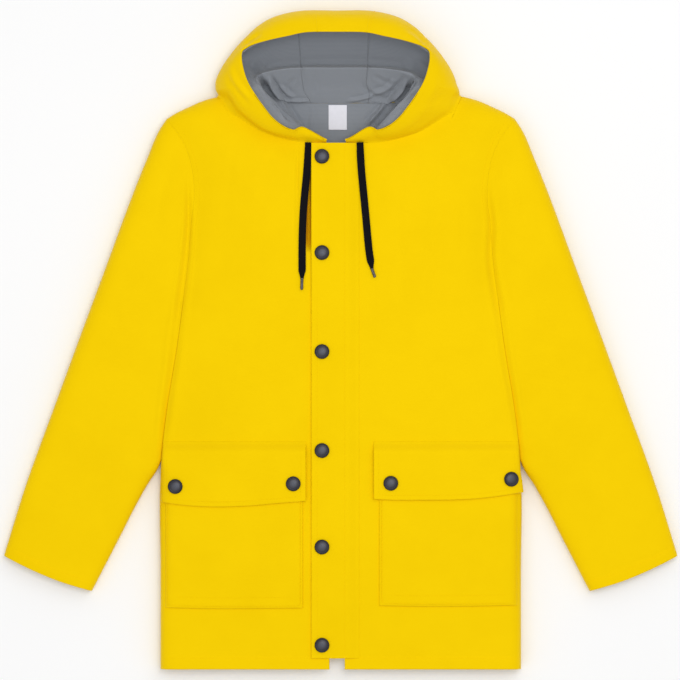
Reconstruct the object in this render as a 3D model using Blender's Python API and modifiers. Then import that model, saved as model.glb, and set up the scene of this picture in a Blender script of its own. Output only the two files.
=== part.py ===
"""A child's hooded raincoat, laid flat on its back, as the pieces that a maker cuts and sews.

Metres, +Z up. The coat lies on z = 0 with its hem towards -Y and its hood towards +Y.
The tables below are in millimetres, measured from the middle of the laid coat.
Outlines are given for the +X half, which is the wearer's left, and mirrored for the other.
"""

import math

import bmesh
import bpy
import numpy as np

MM = 0.001

# Cloth.
WALL = 2.0  # coated cotton with its jersey backing
LINING_WALL = 1.4
LABEL_WALL = 0.7
SEAM_GAP = 0.3  # between pieces that are sewn together or lie on each other
SEAM_HALF = SEAM_GAP / 2

# The air left in the laid coat: how far the folded edges round away, and how high the top lies.
BODY_HALF_DEPTH = 12.0
CUFF_HALF_DEPTH = 8.0
FOLD_REACH = 22.0
CROWN = 3.0
CROWN_REACH = 85.0
SEAM_DIP = 2.2  # how deep the cloth is drawn in along the armhole and neck seams
SEAM_DIP_REACH = 13.0
NECK_DIP_LEAST = 0.2  # the share of that dip which is left at the centre front
NECK_DIP_FROM_X = 25.0
NECK_DIP_FULL_X = 55.0
HEM_SAG = 4.0
HEM_SAG_REACH = 70.0
BACK_HEM_RISE_REACH = 110.0  # the back's hem rises this far in from the side seams
BACK_HEM_RISE_HEIGHT = 80.0

HEM_Y = -328.6
UNDERARM_Y = 40.0
CUFF_Y = -250.0

# Outlines of the +X half, (x, y).
SIDE_EDGE = [
    (180.2, -328.6), (180.2, -230), (180.5, -145), (179, -118), (173.5, -70), (163, -5), (157, 40),
]
ARMHOLE = [
    (157, 40), (152, 80), (149, 118), (146.3, 140), (147, 162), (150.5, 180), (157, 197), (174, 221),
]
SHOULDER = [(174, 221), (165, 226.5), (153, 232.3), (137, 239.3), (121, 243.6)]
FRONT_NECK = [
    (121, 243.6), (113, 229), (102, 222), (91, 215), (80, 208.5), (66, 203.3), (55, 200.3), (42, 198),
    (28, 196.8),
]
BACK_NECK = [(121, 243.6), (90, 240.5), (55, 238.2), (0, 237)]
SLEEVE_OUTER = [
    (174, 221), (181, 210.3), (194, 180.2), (239.5, 60.2), (283.9, -60), (316.6, -150), (337, -215.8),
]
SLEEVE_INNER = [
    (158, 39), (164, -5), (174.6, -70), (180.4, -118), (183.5, -131), (191, -141), (202, -160),
    (222.5, -200), (249, -251.2),
]
CUFF = [(337, -215.8), (308, -230.2), (282.5, -240.8), (249, -251.2)]

# Centre front. The wearer's right front runs on under the placket, which hangs from the left front.
RIGHT_FRONT_EDGE = -11.2
LEFT_FRONT_EDGE = 3.8
CENTRE_NECK_Y = 196.6
PLACKET_LEFT = -29.5
PLACKET_RIGHT = 18.5
PLACKET_BOTTOM_Y = -317.5
BACK_HEM_Y = -316.0

# Pockets and flaps, for the +X side.
POCKET_INNER_X = 38.5
POCKET_OUTER_X = 175.5
POCKET_TOP_Y = -118.0
POCKET_BOTTOM_Y = -266.0
FLAP_INNER_X = 34.5
FLAP_OUTER_X = 178.4
FLAP_TOP_Y = -101.0
FLAP_BOTTOM_Y = -161.5
FLAP_LIFT = 1.6  # how far the middle of the flap's free edge stands off the pocket

# Snap caps: (radius, height) along the turned profile.
SNAP_PROFILE = [(0, 0), (6.9, 0), (7.4, 0.7), (7.1, 1.7), (6.1, 2.4), (5.0, 2.1), (2.8, 2.4), (0, 2.5)]
SNAP_STEPS = 18
FRONT_SNAP_X = -18.7
FRONT_SNAP_YS = (183, 87, -11.5, -110, -206, -304)
FLAP_SNAPS = {"right": ((-165.5, -146), (-47.5, -143)), "left": ((50, -142.5), (170.5, -138.5))}

# Hood. Its middle lies a little to the wearer's right of the coat's middle.
HOOD_X = -5.0
# The sections drawn, from the seam between the centre panel and a side panel.
HOOD_ROWS = (1, 2, 3, 4, 5, 6, 7, 7.6, 8, 8.3, 8.6, 9, 9.4, 9.9, 10.6, 11.4, 12.3, 13, 13.6, 14.2, 15)
SHOULDER_ROW = 8  # the section at the neck end of the shoulder
# One row for each section of the outer hood, from the crown's middle to the centre front. The first rows
# turn under at the edge and run back along the floor to the neck seam. The others end at the fronts.
# Its columns: rim x y z, bulge x y z, edge x y z, under x y, and the x of its end on the neck seam.
RIM, BULGE, TURN, SEAM_X = slice(0, 3), slice(3, 6), slice(6, 11), slice(11, 12)
HOOD_SECTIONS = [
    (0, 305.7, 48, 0, 320, 42, 0, 328.55, 20, 0, 318, 0),
    (29, 305.2, 48, 31, 319.5, 42, 34, 328.4, 20, 33, 317, 27),
    (48, 301.5, 47, 54, 315, 41, 62, 323, 19.5, 58, 312, 50),
    (66, 298, 45, 73, 307, 38, 80, 313, 19, 74, 302, 64),
    (81, 294, 42, 87, 300, 35, 93, 300, 18, 84, 291, 76),
    (92.5, 289, 40, 97, 288.5, 34, 103.5, 286.5, 17, 92, 280, 86),
    (93.6, 279, 41, 103, 275, 36, 114, 271.5, 16, 101, 268, 96),
    (90.5, 265, 42, 104, 262, 37, 120.5, 256.5, 14, 112, 253, 108),
    (86, 253.5, 43, 103, 250, 37, None, None, None, None, None, 122.2),
    (79, 242, 43, 96, 237, 36, None, None, None, None, None, 116.5),
    (71.5, 231.5, 43, 87, 225, 36, None, None, None, None, None, 102),
    (63.2, 221, 42, 74, 213, 35, None, None, None, None, None, 84),
    (52.6, 212.5, 39, 60, 206, 33, None, None, None, None, None, 66),
    (41.3, 208.2, 36, 44, 203, 31.5, None, None, None, None, None, 46),
    (31.5, 211.5, 34, 32.5, 204, 31, None, None, None, None, None, 33),
    (9.5, 198.2, 29.5, 9.5, 197.9, 28.5, None, None, None, None, None, 9.5),
]

# Hood lining: it stands up from the neck seam like a collar to a crest. At the crown it falls behind the
# crest into a crease, lies on the hood's back and comes up inside the hood to the rim. At the sides it
# meets the rim.
# Its columns: the hood section that the row ends under, then inner x y z, slope x y z, crest x y z,
# crease x y z and floor x y z.
HOOD_ROW = 0
INNER_END, SLOPE, CREST, CREASE, FLOOR = (slice(first, first + 3) for first in range(1, 16, 3))
LINING_SECTIONS = [
    (0, 0, 237.4, 4.2, 0, 254, 13, 0, 271, 27, 0, 276.5, 8, 0, 300, 4.2),
    (1, 26, 237.5, 4.2, 28.5, 254, 13, 30, 271, 27, 30, 276.5, 8, 31, 299.5, 4.2),
    (2.5, 40, 237.9, 4.2, 45, 253, 13, 50, 270, 27.5, 52, 275.5, 8, 55, 292, 4.2),
    (4.6, 48, 238.3, 4.6, 59, 252, 13, 68, 267, 28.5, 71.5, 271, 11, 77, 278, 6),
    (6.9, 53, 238.2, 5.4, 66, 250.5, 11, 79, 262, 31, 82.5, 264, 24, 87, 266, 21),
    (8.1, 53, 235.8, 5.4, 66, 244, 17, 80.5, 253.5, 34, 83, 253, 34.5, 85.5, 252.7, 36),
    (9, 51, 232, 5.4, 61.5, 237, 19, 74, 243.5, 34, 76.5, 242.8, 34.5, 79, 242, 36),
    (9.9, 47.5, 226, 5.4, 57, 230, 19, 68, 235, 34, 70.3, 233.8, 34.5, 72.5, 232.3, 36),
    (10.9, 43, 218.5, 5.6, 50.5, 221.5, 19, 59.5, 226, 33.5, 61.6, 224.3, 34, 63.6, 222.3, 35.5),
    (12, 36.5, 212.5, 6.5, 42, 213.5, 19, 49, 217, 32, 50.6, 215.2, 33, 52, 213.5, 34),
]
LINING_ROWS = (1, 1.7, 2.4, 3.1, 3.8, 4.4, 5, 5.7, 6.4, 7.1, 7.8, 8.4, 9)
RIM_MARGIN = 3.0  # from the rim to the lining's edge
BAND_DEPTH = 24.0  # from the rim to where the crown's lining turns down inside the hood
SIDE_BAND_DEPTH = 4.5
CROWN_LINING_ROW = 2.6  # from this lining section on, the band narrows to the sides' depth
CROWN_LINING_ROWS = 2.2
NECK_LINING_HALF = 90.0
NECK_LINING_TOP_Y = 236.6
NECK_LINING_BOTTOM_Y = 150.0
LABEL_LEFT = -12.3
LABEL_RIGHT = 6.2
LABEL_TOP_Y = 235.4
LABEL_BOTTOM_Y = 210.5

# Drawcord ends: the middle of each flat cord, from its slot in the neck seam to its tip.
CORD_WIDTH = 7.4
CORD_THICKNESS = 1.8
TIP_RADIUS = 1.5
CORD_TAPER = 10.0  # the stretch that narrows into the tip
CORD_ROUTES = {
    "right": [
        (-33.8, 195.6), (-33.9, 182), (-34.8, 168), (-36.4, 150), (-37.8, 132), (-38.5, 112), (-38.6, 92),
        (-38.3, 69.5),
    ],
    "left": [
        (19.9, 195.8), (20.6, 182), (21.6, 168), (23.7, 148), (25.9, 126), (27.6, 104), (28.9, 88),
        (30.3, 78.5),
    ],
}
TIP_ENDS = {"right": (-38.9, 50.0), "left": (33.6, 62.5)}

COLOURS = {
    "yellow": ((0.91, 0.61, 0.004, 1), 0.45, 0.0),
    "lining": ((0.21, 0.22, 0.24, 1), 0.9, 0.0),
    "label": ((0.82, 0.83, 0.86, 1), 0.8, 0.0),
    "snap": ((0.02, 0.02, 0.03, 1), 0.3, 0.8),
    "cord": ((0.01, 0.01, 0.014, 1), 0.85, 0.0),
    "tip": ((0.03, 0.028, 0.026, 1), 0.4, 0.2),
}


# ---- curves and surfaces -------------------------------------------------------------------

def smooth(points, samples=16):
    """A dense smooth curve through the points, with the ends' own directions."""
    p = np.asarray(points, float)
    gaps = np.linalg.norm(np.diff(p, axis=0), axis=1)
    slopes = np.diff(p, axis=0) / gaps[:, None]
    tangents = np.empty_like(p)
    tangents[0], tangents[-1] = slopes[0], slopes[-1]
    before, after = gaps[:-1, None], gaps[1:, None]
    tangents[1:-1] = (slopes[:-1] * after + slopes[1:] * before) / (before + after)
    out = []
    for i, gap in enumerate(gaps):
        u = np.linspace(0, 1, samples, endpoint=False)[:, None]
        out.append(
            (2 * u**3 - 3 * u**2 + 1) * p[i]
            + (u**3 - 2 * u**2 + u) * gap * tangents[i]
            + (3 * u**2 - 2 * u**3) * p[i + 1]
            + (u**3 - u**2) * gap * tangents[i + 1]
        )
    out.append(p[-1:])
    return np.concatenate(out)


def lengths(points):
    """The length along a line of points up to each of them."""
    steps = np.linalg.norm(np.diff(points, axis=0), axis=1)
    return np.concatenate([[0], np.cumsum(steps)])


def at_lengths(curve, fractions):
    """Points of a dense curve at these fractions of its length."""
    length = lengths(curve)
    wanted = np.asarray(fractions) * length[-1]
    return np.stack([np.interp(wanted, length, values) for values in curve.T], axis=1)


def patch(bottom, top, left, right, across, along):
    """A plan grid that fills four boundary curves: rows from bottom to top, columns left to right."""
    low, high = at_lengths(bottom, across), at_lengths(top, across)
    first, last = at_lengths(left, along), at_lengths(right, along)
    u = np.asarray(across)[None, :, None]
    v = np.asarray(along)[:, None, None]
    corners = (
        (1 - u) * (1 - v) * low[0] + u * (1 - v) * low[-1] + (1 - u) * v * high[0] + u * v * high[-1]
    )
    return (1 - v) * low[None] + v * high[None] + (1 - u) * first[:, None] + u * last[:, None] - corners


def nearest(plan, lines, middle):
    """For each plan point of the +X half: its distance to the lines, and the direction out to them."""
    flat = plan.reshape(-1, 1, 2)
    best = np.full(len(flat), np.inf)
    out = np.zeros((len(flat), 2))
    for line in lines:
        a, run = line[:-1][None], np.diff(line, axis=0)[None]
        share = np.clip(((flat - a) * run).sum(-1) / (run**2).sum(-1), 0, 1)[..., None]
        away = a + share * run - flat
        found = np.linalg.norm(away, axis=-1)
        index = found.argmin(axis=1)
        pick = np.arange(len(flat))
        closer = found[pick, index] < best
        along = run[0, index]
        across = np.stack([along[:, 1], -along[:, 0]], axis=-1)
        outward = ((flat[:, 0] - middle.reshape(-1, 2)) * across).sum(-1)
        across *= np.sign(outward)[:, None]
        near = found[pick, index][:, None]
        direction = np.where(near > 0.05, away[pick, index], across)
        best = np.where(closer, found[pick, index], best)
        out = np.where(closer[:, None], direction, out)
    out /= np.linalg.norm(out, axis=-1, keepdims=True)
    return best.reshape(plan.shape[:-1]), out.reshape(plan.shape)


def distance(plan, lines):
    return nearest(plan, lines, np.zeros_like(plan))[0]


def mirrored(line):
    return np.asarray(line, float) * np.array([-1, 1])


def ease(x):
    x = np.clip(x, 0, 1)
    return x * x * (3 - 2 * x)


def bump(x):
    return np.exp(-(x**2))


SIDE = smooth(SIDE_EDGE)
ARM = smooth(ARMHOLE)
SHOULDER_LINE = smooth(SHOULDER)
NECK = smooth(FRONT_NECK)
OUTER = smooth(SLEEVE_OUTER)
INNER = smooth(SLEEVE_INNER)
CUFF_LINE = smooth(CUFF)
BACK_NECK_LINE = smooth(BACK_NECK)
BODY_FOLDS = (SIDE, SHOULDER_LINE, OUTER)
SLEEVE_FOLDS = (OUTER, INNER, SHOULDER_LINE)
BODY_MIDDLE = (60.0, -60.0)


def half_plane(plan):
    """Plan points folded onto the +X half."""
    return np.concatenate([np.abs(plan[..., :1]), plan[..., 1:]], axis=-1)


def fold_profile(plan, folds, middle):
    """How far the cloth has risen from its fold, 0 to 1 on a quarter ellipse, and the way to the fold."""
    near, out = nearest(plan, folds, middle)
    share = np.sqrt(1 - (1 - np.clip(near / FOLD_REACH, 0, 1)) ** 2)
    return share, out


def face_points(plan, folds, middle, half_depth, relief, up, offset):
    """Points of a laid panel's outer face in millimetres, moved out from it by offset."""
    sides = np.where(plan[..., :1] < 0, -1.0, 1.0)
    half = half_plane(plan)
    share, out = fold_profile(half, folds, middle)
    outward = out * (np.sqrt(1 - share**2) * half_depth)[..., None]
    normal = np.concatenate([outward, (share * FOLD_REACH * up)[..., None]], axis=-1)
    normal /= np.linalg.norm(normal, axis=-1, keepdims=True)
    height = half_depth * (1 + up * share) + relief * share
    points = np.concatenate([half, height[..., None]], axis=-1) + normal * np.asarray(offset)[..., None]
    return np.concatenate([points[..., :1] * sides, points[..., 1:]], axis=-1)


def body_relief(plan):
    """What the fronts' height adds to the rolled form: the crown, the hem's sag and the drawn seams."""
    half = half_plane(plan)
    inside = distance(half, (SIDE, SHOULDER_LINE, ARM, NECK))
    crown = CROWN * ease(inside / CROWN_REACH)
    sag = HEM_SAG * bump((plan[..., 1] - HEM_Y) / HEM_SAG_REACH) * ease(inside / CROWN_REACH)
    from_centre = ease((half[..., 0] - NECK_DIP_FROM_X) / (NECK_DIP_FULL_X - NECK_DIP_FROM_X))
    at_neck = bump(distance(half, (NECK,)) / SEAM_DIP_REACH)
    at_neck *= NECK_DIP_LEAST + (1 - NECK_DIP_LEAST) * from_centre
    drawn = bump(distance(half, (ARM,)) / SEAM_DIP_REACH) + at_neck
    return crown - sag - SEAM_DIP * drawn


def body_middle(plan):
    return np.broadcast_to(np.array(BODY_MIDDLE), plan.shape)


def front_face(plan, offset=0.0):
    """Points on the fronts' outer face, moved out by offset."""
    relief = body_relief(plan)
    points = face_points(plan, BODY_FOLDS, body_middle(plan), BODY_HALF_DEPTH, relief, 1, offset)
    points[..., 2] = np.maximum(points[..., 2], BODY_HALF_DEPTH + SEAM_HALF)
    return points


def back_face(plan, offset=0.0):
    """Points on the back's outer face, moved out by offset."""
    points = face_points(plan, BODY_FOLDS, body_middle(plan), BODY_HALF_DEPTH, 0.0, -1, offset)
    points[..., 2] = np.minimum(points[..., 2], BODY_HALF_DEPTH - SEAM_HALF)
    return points


def sleeve_face(plan, up, offset=0.0):
    """Points on a sleeve's outer face, top or underside, moved out by offset. Rows run across it."""
    down = ease((UNDERARM_Y - plan[..., 1]) / (UNDERARM_Y - CUFF_Y))
    half_depth = BODY_HALF_DEPTH + (CUFF_HALF_DEPTH - BODY_HALF_DEPTH) * down
    relief = -SEAM_DIP * bump(distance(plan, (ARM,)) / SEAM_DIP_REACH) * (up > 0)
    middle = np.broadcast_to(plan.mean(axis=1, keepdims=True), plan.shape)
    points = face_points(plan, SLEEVE_FOLDS, middle, half_depth, relief, up, offset)
    off_the_fold = np.maximum(up * (points[..., 2] - half_depth), SEAM_HALF)
    points[..., 2] = half_depth + up * off_the_fold
    return points


def height_at(x, y):
    """Height of the fronts' outer face at one place, in millimetres."""
    return front_face(np.array([[float(x), float(y)]]))[0, 2]


def grid_normals(points):
    """Unit normals of a grid of points."""
    normal = np.cross(np.gradient(points, axis=0), np.gradient(points, axis=1))
    return normal / np.linalg.norm(normal, axis=-1, keepdims=True)


# ---- Blender objects -----------------------------------------------------------------------

def clear_scene():
    for obj in list(bpy.data.objects):
        bpy.data.objects.remove(obj)


def make_materials():
    made = {}
    for name, (colour, roughness, metallic) in COLOURS.items():
        material = bpy.data.materials.new(name)
        material.use_nodes = True
        shader = material.node_tree.nodes["Principled BSDF"]
        shader.inputs["Base Color"].default_value = colour
        shader.inputs["Roughness"].default_value = roughness
        shader.inputs["Metallic"].default_value = metallic
        made[name] = material
    return made


def add_object(name, bm, material, collection):
    bmesh.ops.recalc_face_normals(bm, faces=bm.faces)
    mesh = bpy.data.meshes.new(name)
    bm.to_mesh(mesh)
    bm.free()
    mesh.materials.append(material)
    obj = bpy.data.objects.new(name, mesh)
    collection.objects.link(obj)
    return obj


def add_grid(bm, points):
    """Verts and quads over a grid of points in millimetres."""
    rows, columns = points.shape[:2]
    verts = [[bm.verts.new(points[i, j] * MM) for j in range(columns)] for i in range(rows)]
    for i in range(rows - 1):
        for j in range(columns - 1):
            bm.faces.new([verts[i][j], verts[i][j + 1], verts[i + 1][j + 1], verts[i + 1][j]])
    return verts


def edge_loop(verts):
    """The verts round the border of an open grid."""
    loop = list(verts[0]) + [row[-1] for row in verts[1:]]
    return loop + list(verts[-1][-2::-1]) + [row[0] for row in verts[-2:0:-1]]


def join_loops(bm, first, second):
    for i, vert in enumerate(first):
        k = (i + 1) % len(first)
        bm.faces.new([vert, first[k], second[k], second[i]])


def walled(name, outer, inner, material, collection):
    """A wall of cloth between two grids of points."""
    bm = bmesh.new()
    join_loops(bm, edge_loop(add_grid(bm, outer)), edge_loop(add_grid(bm, inner)))
    return add_object(name, bm, material, collection)


# ---- body and sleeves ----------------------------------------------------------------------

# Shares of a panel's width and height at which its wall is drawn, closest where it rolls into a fold.
GAP_FADE = 6.0  # a seam's gap fades out over about this distance from the armhole
EDGE_COLUMNS = (0, 0.006, 0.024, 0.052, 0.09, 0.15, 0.24, 0.36, 0.5, 0.64, 0.78, 0.9, 1)
SIDE_ROWS = (0, 0.07, 0.16, 0.27, 0.39, 0.51, 0.63, 0.75, 0.86, 0.94, 0.98)
SLEEVE_COLUMNS = (0, 0.01, 0.028, 0.06, 0.11, 0.2, 0.34, 0.5, 0.66, 0.8, 0.89, 0.94, 0.972, 0.99, 1)
SLEEVE_ROWS = (0, 0.04, 0.09, 0.16, 0.25, 0.35, 0.46, 0.57, 0.68, 0.79, 0.9, 1)


def body_rows():
    """The body's side edge as points, the sleeve's own along the armhole, and their shares of it."""
    side = np.concatenate([at_lengths(SIDE, SIDE_ROWS), at_lengths(ARM, SLEEVE_COLUMNS)])
    length = lengths(side)
    return side, length / length[-1]


BODY_SIDE, BODY_ROWS = body_rows()


def off_the_seams(plan, neck):
    """Draws plan points back from the armhole and neck seams by half a seam's gap."""
    half = half_plane(plan)
    moved = plan.copy()
    moved[..., 0] -= np.sign(plan[..., 0]) * SEAM_GAP * bump(distance(half, (ARM,)) / GAP_FADE)
    moved[..., 1] -= SEAM_HALF * bump(distance(half, (neck,)) / GAP_FADE)
    return moved


def front_plan(side):
    """Plan grid of one front. side is 1 for +X."""
    centre_x = LEFT_FRONT_EDGE if side > 0 else -RIGHT_FRONT_EDGE
    hem = np.array([[SIDE[0][0], HEM_Y], [centre_x, HEM_Y]])
    top = np.concatenate([SHOULDER_LINE, NECK[1:], [[centre_x, CENTRE_NECK_Y]]])
    centre = np.array([[centre_x, HEM_Y], [centre_x, CENTRE_NECK_Y]])
    plan = patch(hem, top, BODY_SIDE, centre, EDGE_COLUMNS, BODY_ROWS)
    return off_the_seams(plan, NECK) * np.array([side, 1])


def back_plan():
    half = np.array(EDGE_COLUMNS) / 2
    across = np.concatenate([half, 1 - half[-2::-1]])
    hem = np.array([[-SIDE[0][0], HEM_Y], [SIDE[0][0], HEM_Y]])
    half_top = np.concatenate([SHOULDER_LINE, BACK_NECK_LINE[1:]])
    top = np.concatenate([mirrored(half_top), half_top[-2::-1]])
    plan = patch(hem, top, mirrored(BODY_SIDE), BODY_SIDE, across, BODY_ROWS)
    raised = ease((SIDE[0][0] - np.abs(plan[..., 0])) / BACK_HEM_RISE_REACH)
    low = np.clip(1 - (plan[..., 1] - HEM_Y) / BACK_HEM_RISE_HEIGHT, 0, 1)
    plan[..., 1] += (BACK_HEM_Y - HEM_Y) * raised * low
    return off_the_seams(plan, BACK_NECK_LINE)


def sleeve_plan():
    """Plan grid of the +X sleeve: rows from armhole to cuff, columns from its outer edge to its inner."""
    plan = patch(ARM[::-1], CUFF_LINE, OUTER, INNER, SLEEVE_COLUMNS, SLEEVE_ROWS)
    plan[..., 0] += SEAM_GAP * bump(distance(plan, (ARM,)) / GAP_FADE)
    return plan


def make_body(materials, collection):
    yellow = materials["yellow"]
    for name, side in (("right", -1), ("left", 1)):
        plan = front_plan(side)
        walled("front_" + name, front_face(plan), front_face(plan, -WALL), yellow, collection)
        plan = sleeve_plan()
        for half, up in (("sleeve_front_", 1), ("sleeve_back_", -1)):
            faces = [sleeve_face(plan, up, offset) * np.array([side, 1, 1]) for offset in (0.0, -WALL)]
            walled(half + name, *faces, yellow, collection)
    plan = back_plan()
    walled("back", back_face(plan), back_face(plan, -WALL), yellow, collection)


# ---- what lies on the fronts ---------------------------------------------------------------

ON_FRONT = SEAM_GAP
ON_PIECE = SEAM_GAP + WALL  # the outer face of a piece that lies on the front
FLAP_CLIMB = 12.0  # the flap climbs over the pocket's top edge within this distance
PLACKET_COLUMNS = np.linspace(0, 1, 7)
POCKET_COLUMNS = (0, 0.12, 0.26, 0.42, 0.58, 0.74, 0.86, 0.93, 0.97, 1)
POCKET_ROWS = np.linspace(0, 1, 7)
FLAP_ROWS = (0, 0.12, 0.3, 0.5, 0.7, 0.8, 0.9, 1)


def strip_plan(left, right, bottom, top, across, along):
    x = left + (right - left) * np.asarray(across)
    y = bottom + (top - bottom) * np.asarray(along)
    return np.stack(np.meshgrid(x, y), axis=-1)


def placket_plan():
    """The placket's rows are the fronts' own, and its top edge lies just under the neck seam."""
    top = CENTRE_NECK_Y - SEAM_GAP
    plan = strip_plan(PLACKET_LEFT, PLACKET_RIGHT, HEM_Y, top, PLACKET_COLUMNS, BODY_ROWS)
    plan[..., 1] = np.maximum(plan[..., 1], PLACKET_BOTTOM_Y)
    return plan


def flap_offset(plan):
    """The flap starts on the front, climbs over the pocket's top, and stands off at its free edge."""
    down = FLAP_TOP_Y - plan[..., 1]
    over_pocket = ON_FRONT + (WALL + 2 * SEAM_GAP) * ease(down / FLAP_CLIMB)
    middle_x = (FLAP_INNER_X + FLAP_OUTER_X) / 2
    across = 2 * (np.abs(plan[..., 0]) - middle_x) / (FLAP_OUTER_X - FLAP_INNER_X)
    lift = FLAP_LIFT * np.clip(1 - across**2, 0, 1)
    return over_pocket + lift * np.clip(down / (FLAP_TOP_Y - FLAP_BOTTOM_Y), 0, 1) ** 3


def make_front_details(materials, collection):
    yellow = materials["yellow"]
    plan = placket_plan()
    walled("placket", front_face(plan, ON_PIECE), front_face(plan, ON_FRONT), yellow, collection)
    pocket = strip_plan(
        POCKET_INNER_X, POCKET_OUTER_X, POCKET_BOTTOM_Y, POCKET_TOP_Y, POCKET_COLUMNS, POCKET_ROWS
    )
    flap = strip_plan(FLAP_INNER_X, FLAP_OUTER_X, FLAP_BOTTOM_Y, FLAP_TOP_Y, POCKET_COLUMNS, FLAP_ROWS)
    offset = flap_offset(flap)
    for name, side in (("right", -1), ("left", 1)):
        plan = pocket * np.array([side, 1])
        faces = front_face(plan, ON_PIECE), front_face(plan, ON_FRONT)
        walled("pocket_" + name, *faces, yellow, collection)
        plan = flap * np.array([side, 1])
        faces = front_face(plan, offset + WALL), front_face(plan, offset)
        walled("flap_" + name, *faces, yellow, collection)


def snap_cap(name, x, y, offset, materials, collection):
    """A turned cap whose base stands off the fronts' face by offset."""
    bm = bmesh.new()
    verts = [bm.verts.new((radius * MM, 0, height * MM)) for radius, height in SNAP_PROFILE]
    for first, second in zip(verts, verts[1:]):
        bm.edges.new((first, second))
    mesh = bpy.data.meshes.new(name)
    bm.to_mesh(mesh)
    bm.free()
    mesh.materials.append(materials["snap"])
    obj = bpy.data.objects.new(name, mesh)
    collection.objects.link(obj)
    turn = obj.modifiers.new("turn", "SCREW")
    turn.steps = turn.render_steps = SNAP_STEPS
    turn.use_merge_vertices = True
    turn.merge_threshold = 0.00005
    turn.use_normal_calculate = True
    plan = np.array([[float(x), float(y)]])
    base, above = front_face(plan, offset)[0], front_face(plan, offset + 10)[0]
    axis = (above - base) / np.linalg.norm(above - base)
    obj.location = base * MM
    obj.rotation_euler = (math.asin(-axis[1]), math.atan2(axis[0], axis[2]), 0)
    return obj


def make_snaps(materials, collection):
    on_placket = ON_PIECE + 1.5 * SEAM_GAP
    for number, y in enumerate(FRONT_SNAP_YS, start=1):
        snap_cap(f"snap_front_{number}", FRONT_SNAP_X, y, on_placket, materials, collection)
    for name, places in FLAP_SNAPS.items():
        for end, (x, y) in zip(("a", "b"), places):
            offset = flap_offset(np.array([[x, y]]))[0] + WALL + SEAM_GAP
            snap_cap(f"snap_flap_{name}_{end}", x, y, offset, materials, collection)


# ---- hood ----------------------------------------------------------------------------------

def row_between(rows, at):
    """A row of a table at a fractional index, on a smooth curve through the rows."""
    rows = np.asarray(rows, float)
    i = int(np.clip(math.floor(at), 0, len(rows) - 2))
    u = at - i
    before, after = rows[max(i - 1, 0)], rows[min(i + 2, len(rows) - 1)]
    first, last = (rows[i + 1] - before) / 2, (after - rows[i]) / 2
    return (
        (2 * u**3 - 3 * u**2 + 1) * rows[i]
        + (u**3 - 2 * u**2 + u) * first
        + (3 * u**2 - 2 * u**3) * rows[i + 1]
        + (u**3 - u**2) * last
    )


def hood_seam_point(at):
    """Where a hood section meets the neck seam: the back's edge first, then the fronts'."""
    x = row_between([row[SEAM_X] for row in HOOD_SECTIONS], at)[0]
    if at <= SHOULDER_ROW:
        line, gap = BACK_NECK_LINE, SEAM_HALF
        y = np.interp(x, line[::-1, 0], line[::-1, 1]) + gap
        rise = back_face(np.array([[min(x, line[0, 0]), y]]))[0, 2]
        return np.array([x, y + 1.2 * ease(at - SHOULDER_ROW + 1), rise])
    y = np.interp(x, NECK[::-1, 0], NECK[::-1, 1]) + 3 * SEAM_GAP + 0.8 * ease((x - 90) / 15)
    height = height_at(min(x, NECK[0, 0]), y - 4 * SEAM_GAP)
    return np.array([x, y + 1.2 * ease(SHOULDER_ROW + 1 - at), height])


def hood_section(at, samples=15):
    """Points of one outer section in millimetres, from the rim to the neck seam, for the +X half."""
    rim = row_between([row[RIM] for row in HOOD_SECTIONS], at)
    bulge = row_between([row[BULGE] for row in HOOD_SECTIONS], at)
    points = [rim, bulge]
    seam = hood_seam_point(at)
    if at < SHOULDER_ROW:
        full = [row[TURN] for row in HOOD_SECTIONS[:SHOULDER_ROW]]
        shoulder = hood_seam_point(SHOULDER_ROW)
        full.append((*shoulder, shoulder[0] - 0.5, shoulder[1]))
        edge_x, edge_y, edge_z, under_x, under_y = row_between(full, at)
        points += [(edge_x, edge_y, edge_z), (under_x, under_y, seam[2])]
    curve = smooth(np.array([*points, seam]))
    curve[:, 2] = np.maximum(curve[:, 2], 0)
    return at_lengths(curve, np.linspace(0, 1, samples))


def hood_sheet(rows, samples=15):
    """Grid of the hood's outer face for the +X half, in the hood's own frame."""
    return np.array([hood_section(at, samples) for at in rows])


def hood_shift(points):
    """Moves the hood off to its own middle, less and less towards the fronts' neck seam."""
    low = ease((250 - points[..., 1]) / 14) * ease((np.abs(points[..., 0]) - 6) / 20)
    seam_like = ease((34 - points[..., 2]) / 10)
    moved = points.copy()
    moved[..., 0] += HOOD_X * (1 - low * seam_like)
    return moved


def facing_up(points):
    """Normals of a hood grid, out of the cloth: up on the rows' first columns."""
    normal = grid_normals(points)
    return normal if normal[:, 1, 2].mean() > 0 else -normal


def walled_hood(name, points, wall, kept, seams, material, collection):
    """A wall of the hood from the kept rows of a grid, whose other rows only say how the cloth goes on.

    seams gives the rows that meet another panel, and the way to draw each back from it along X.
    """
    points = hood_shift(points)
    inner = points - facing_up(points) * wall
    points, inner = points[kept], inner[kept]
    for row, way in seams.items():
        points[row, :, 0] += way * SEAM_HALF
        inner[row, :, 0] += way * SEAM_HALF
    walled(name, points, inner, material, collection)


def both_halves(half):
    """A grid across the middle, from rows that run out from it."""
    return np.concatenate([half[:0:-1] * np.array([-1, 1, 1]), half])


def make_panels(name, sheet, wall, material, collection):
    """A centre panel and two side panels from one half's grid.

    Its rows start at the middle. Row 2 is the seam, and rows 1 and 3 are the seam's neighbours.
    """
    centre = both_halves(sheet[:4])
    walled_hood(name + "_centre", centre, wall, slice(1, -1), {0: 1, -1: -1}, material, collection)
    for side_name, side in (("_right", -1), ("_left", 1)):
        panel = sheet[1:] * np.array([side, 1, 1])
        walled_hood(name + side_name, panel, wall, slice(1, None), {0: side}, material, collection)


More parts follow.
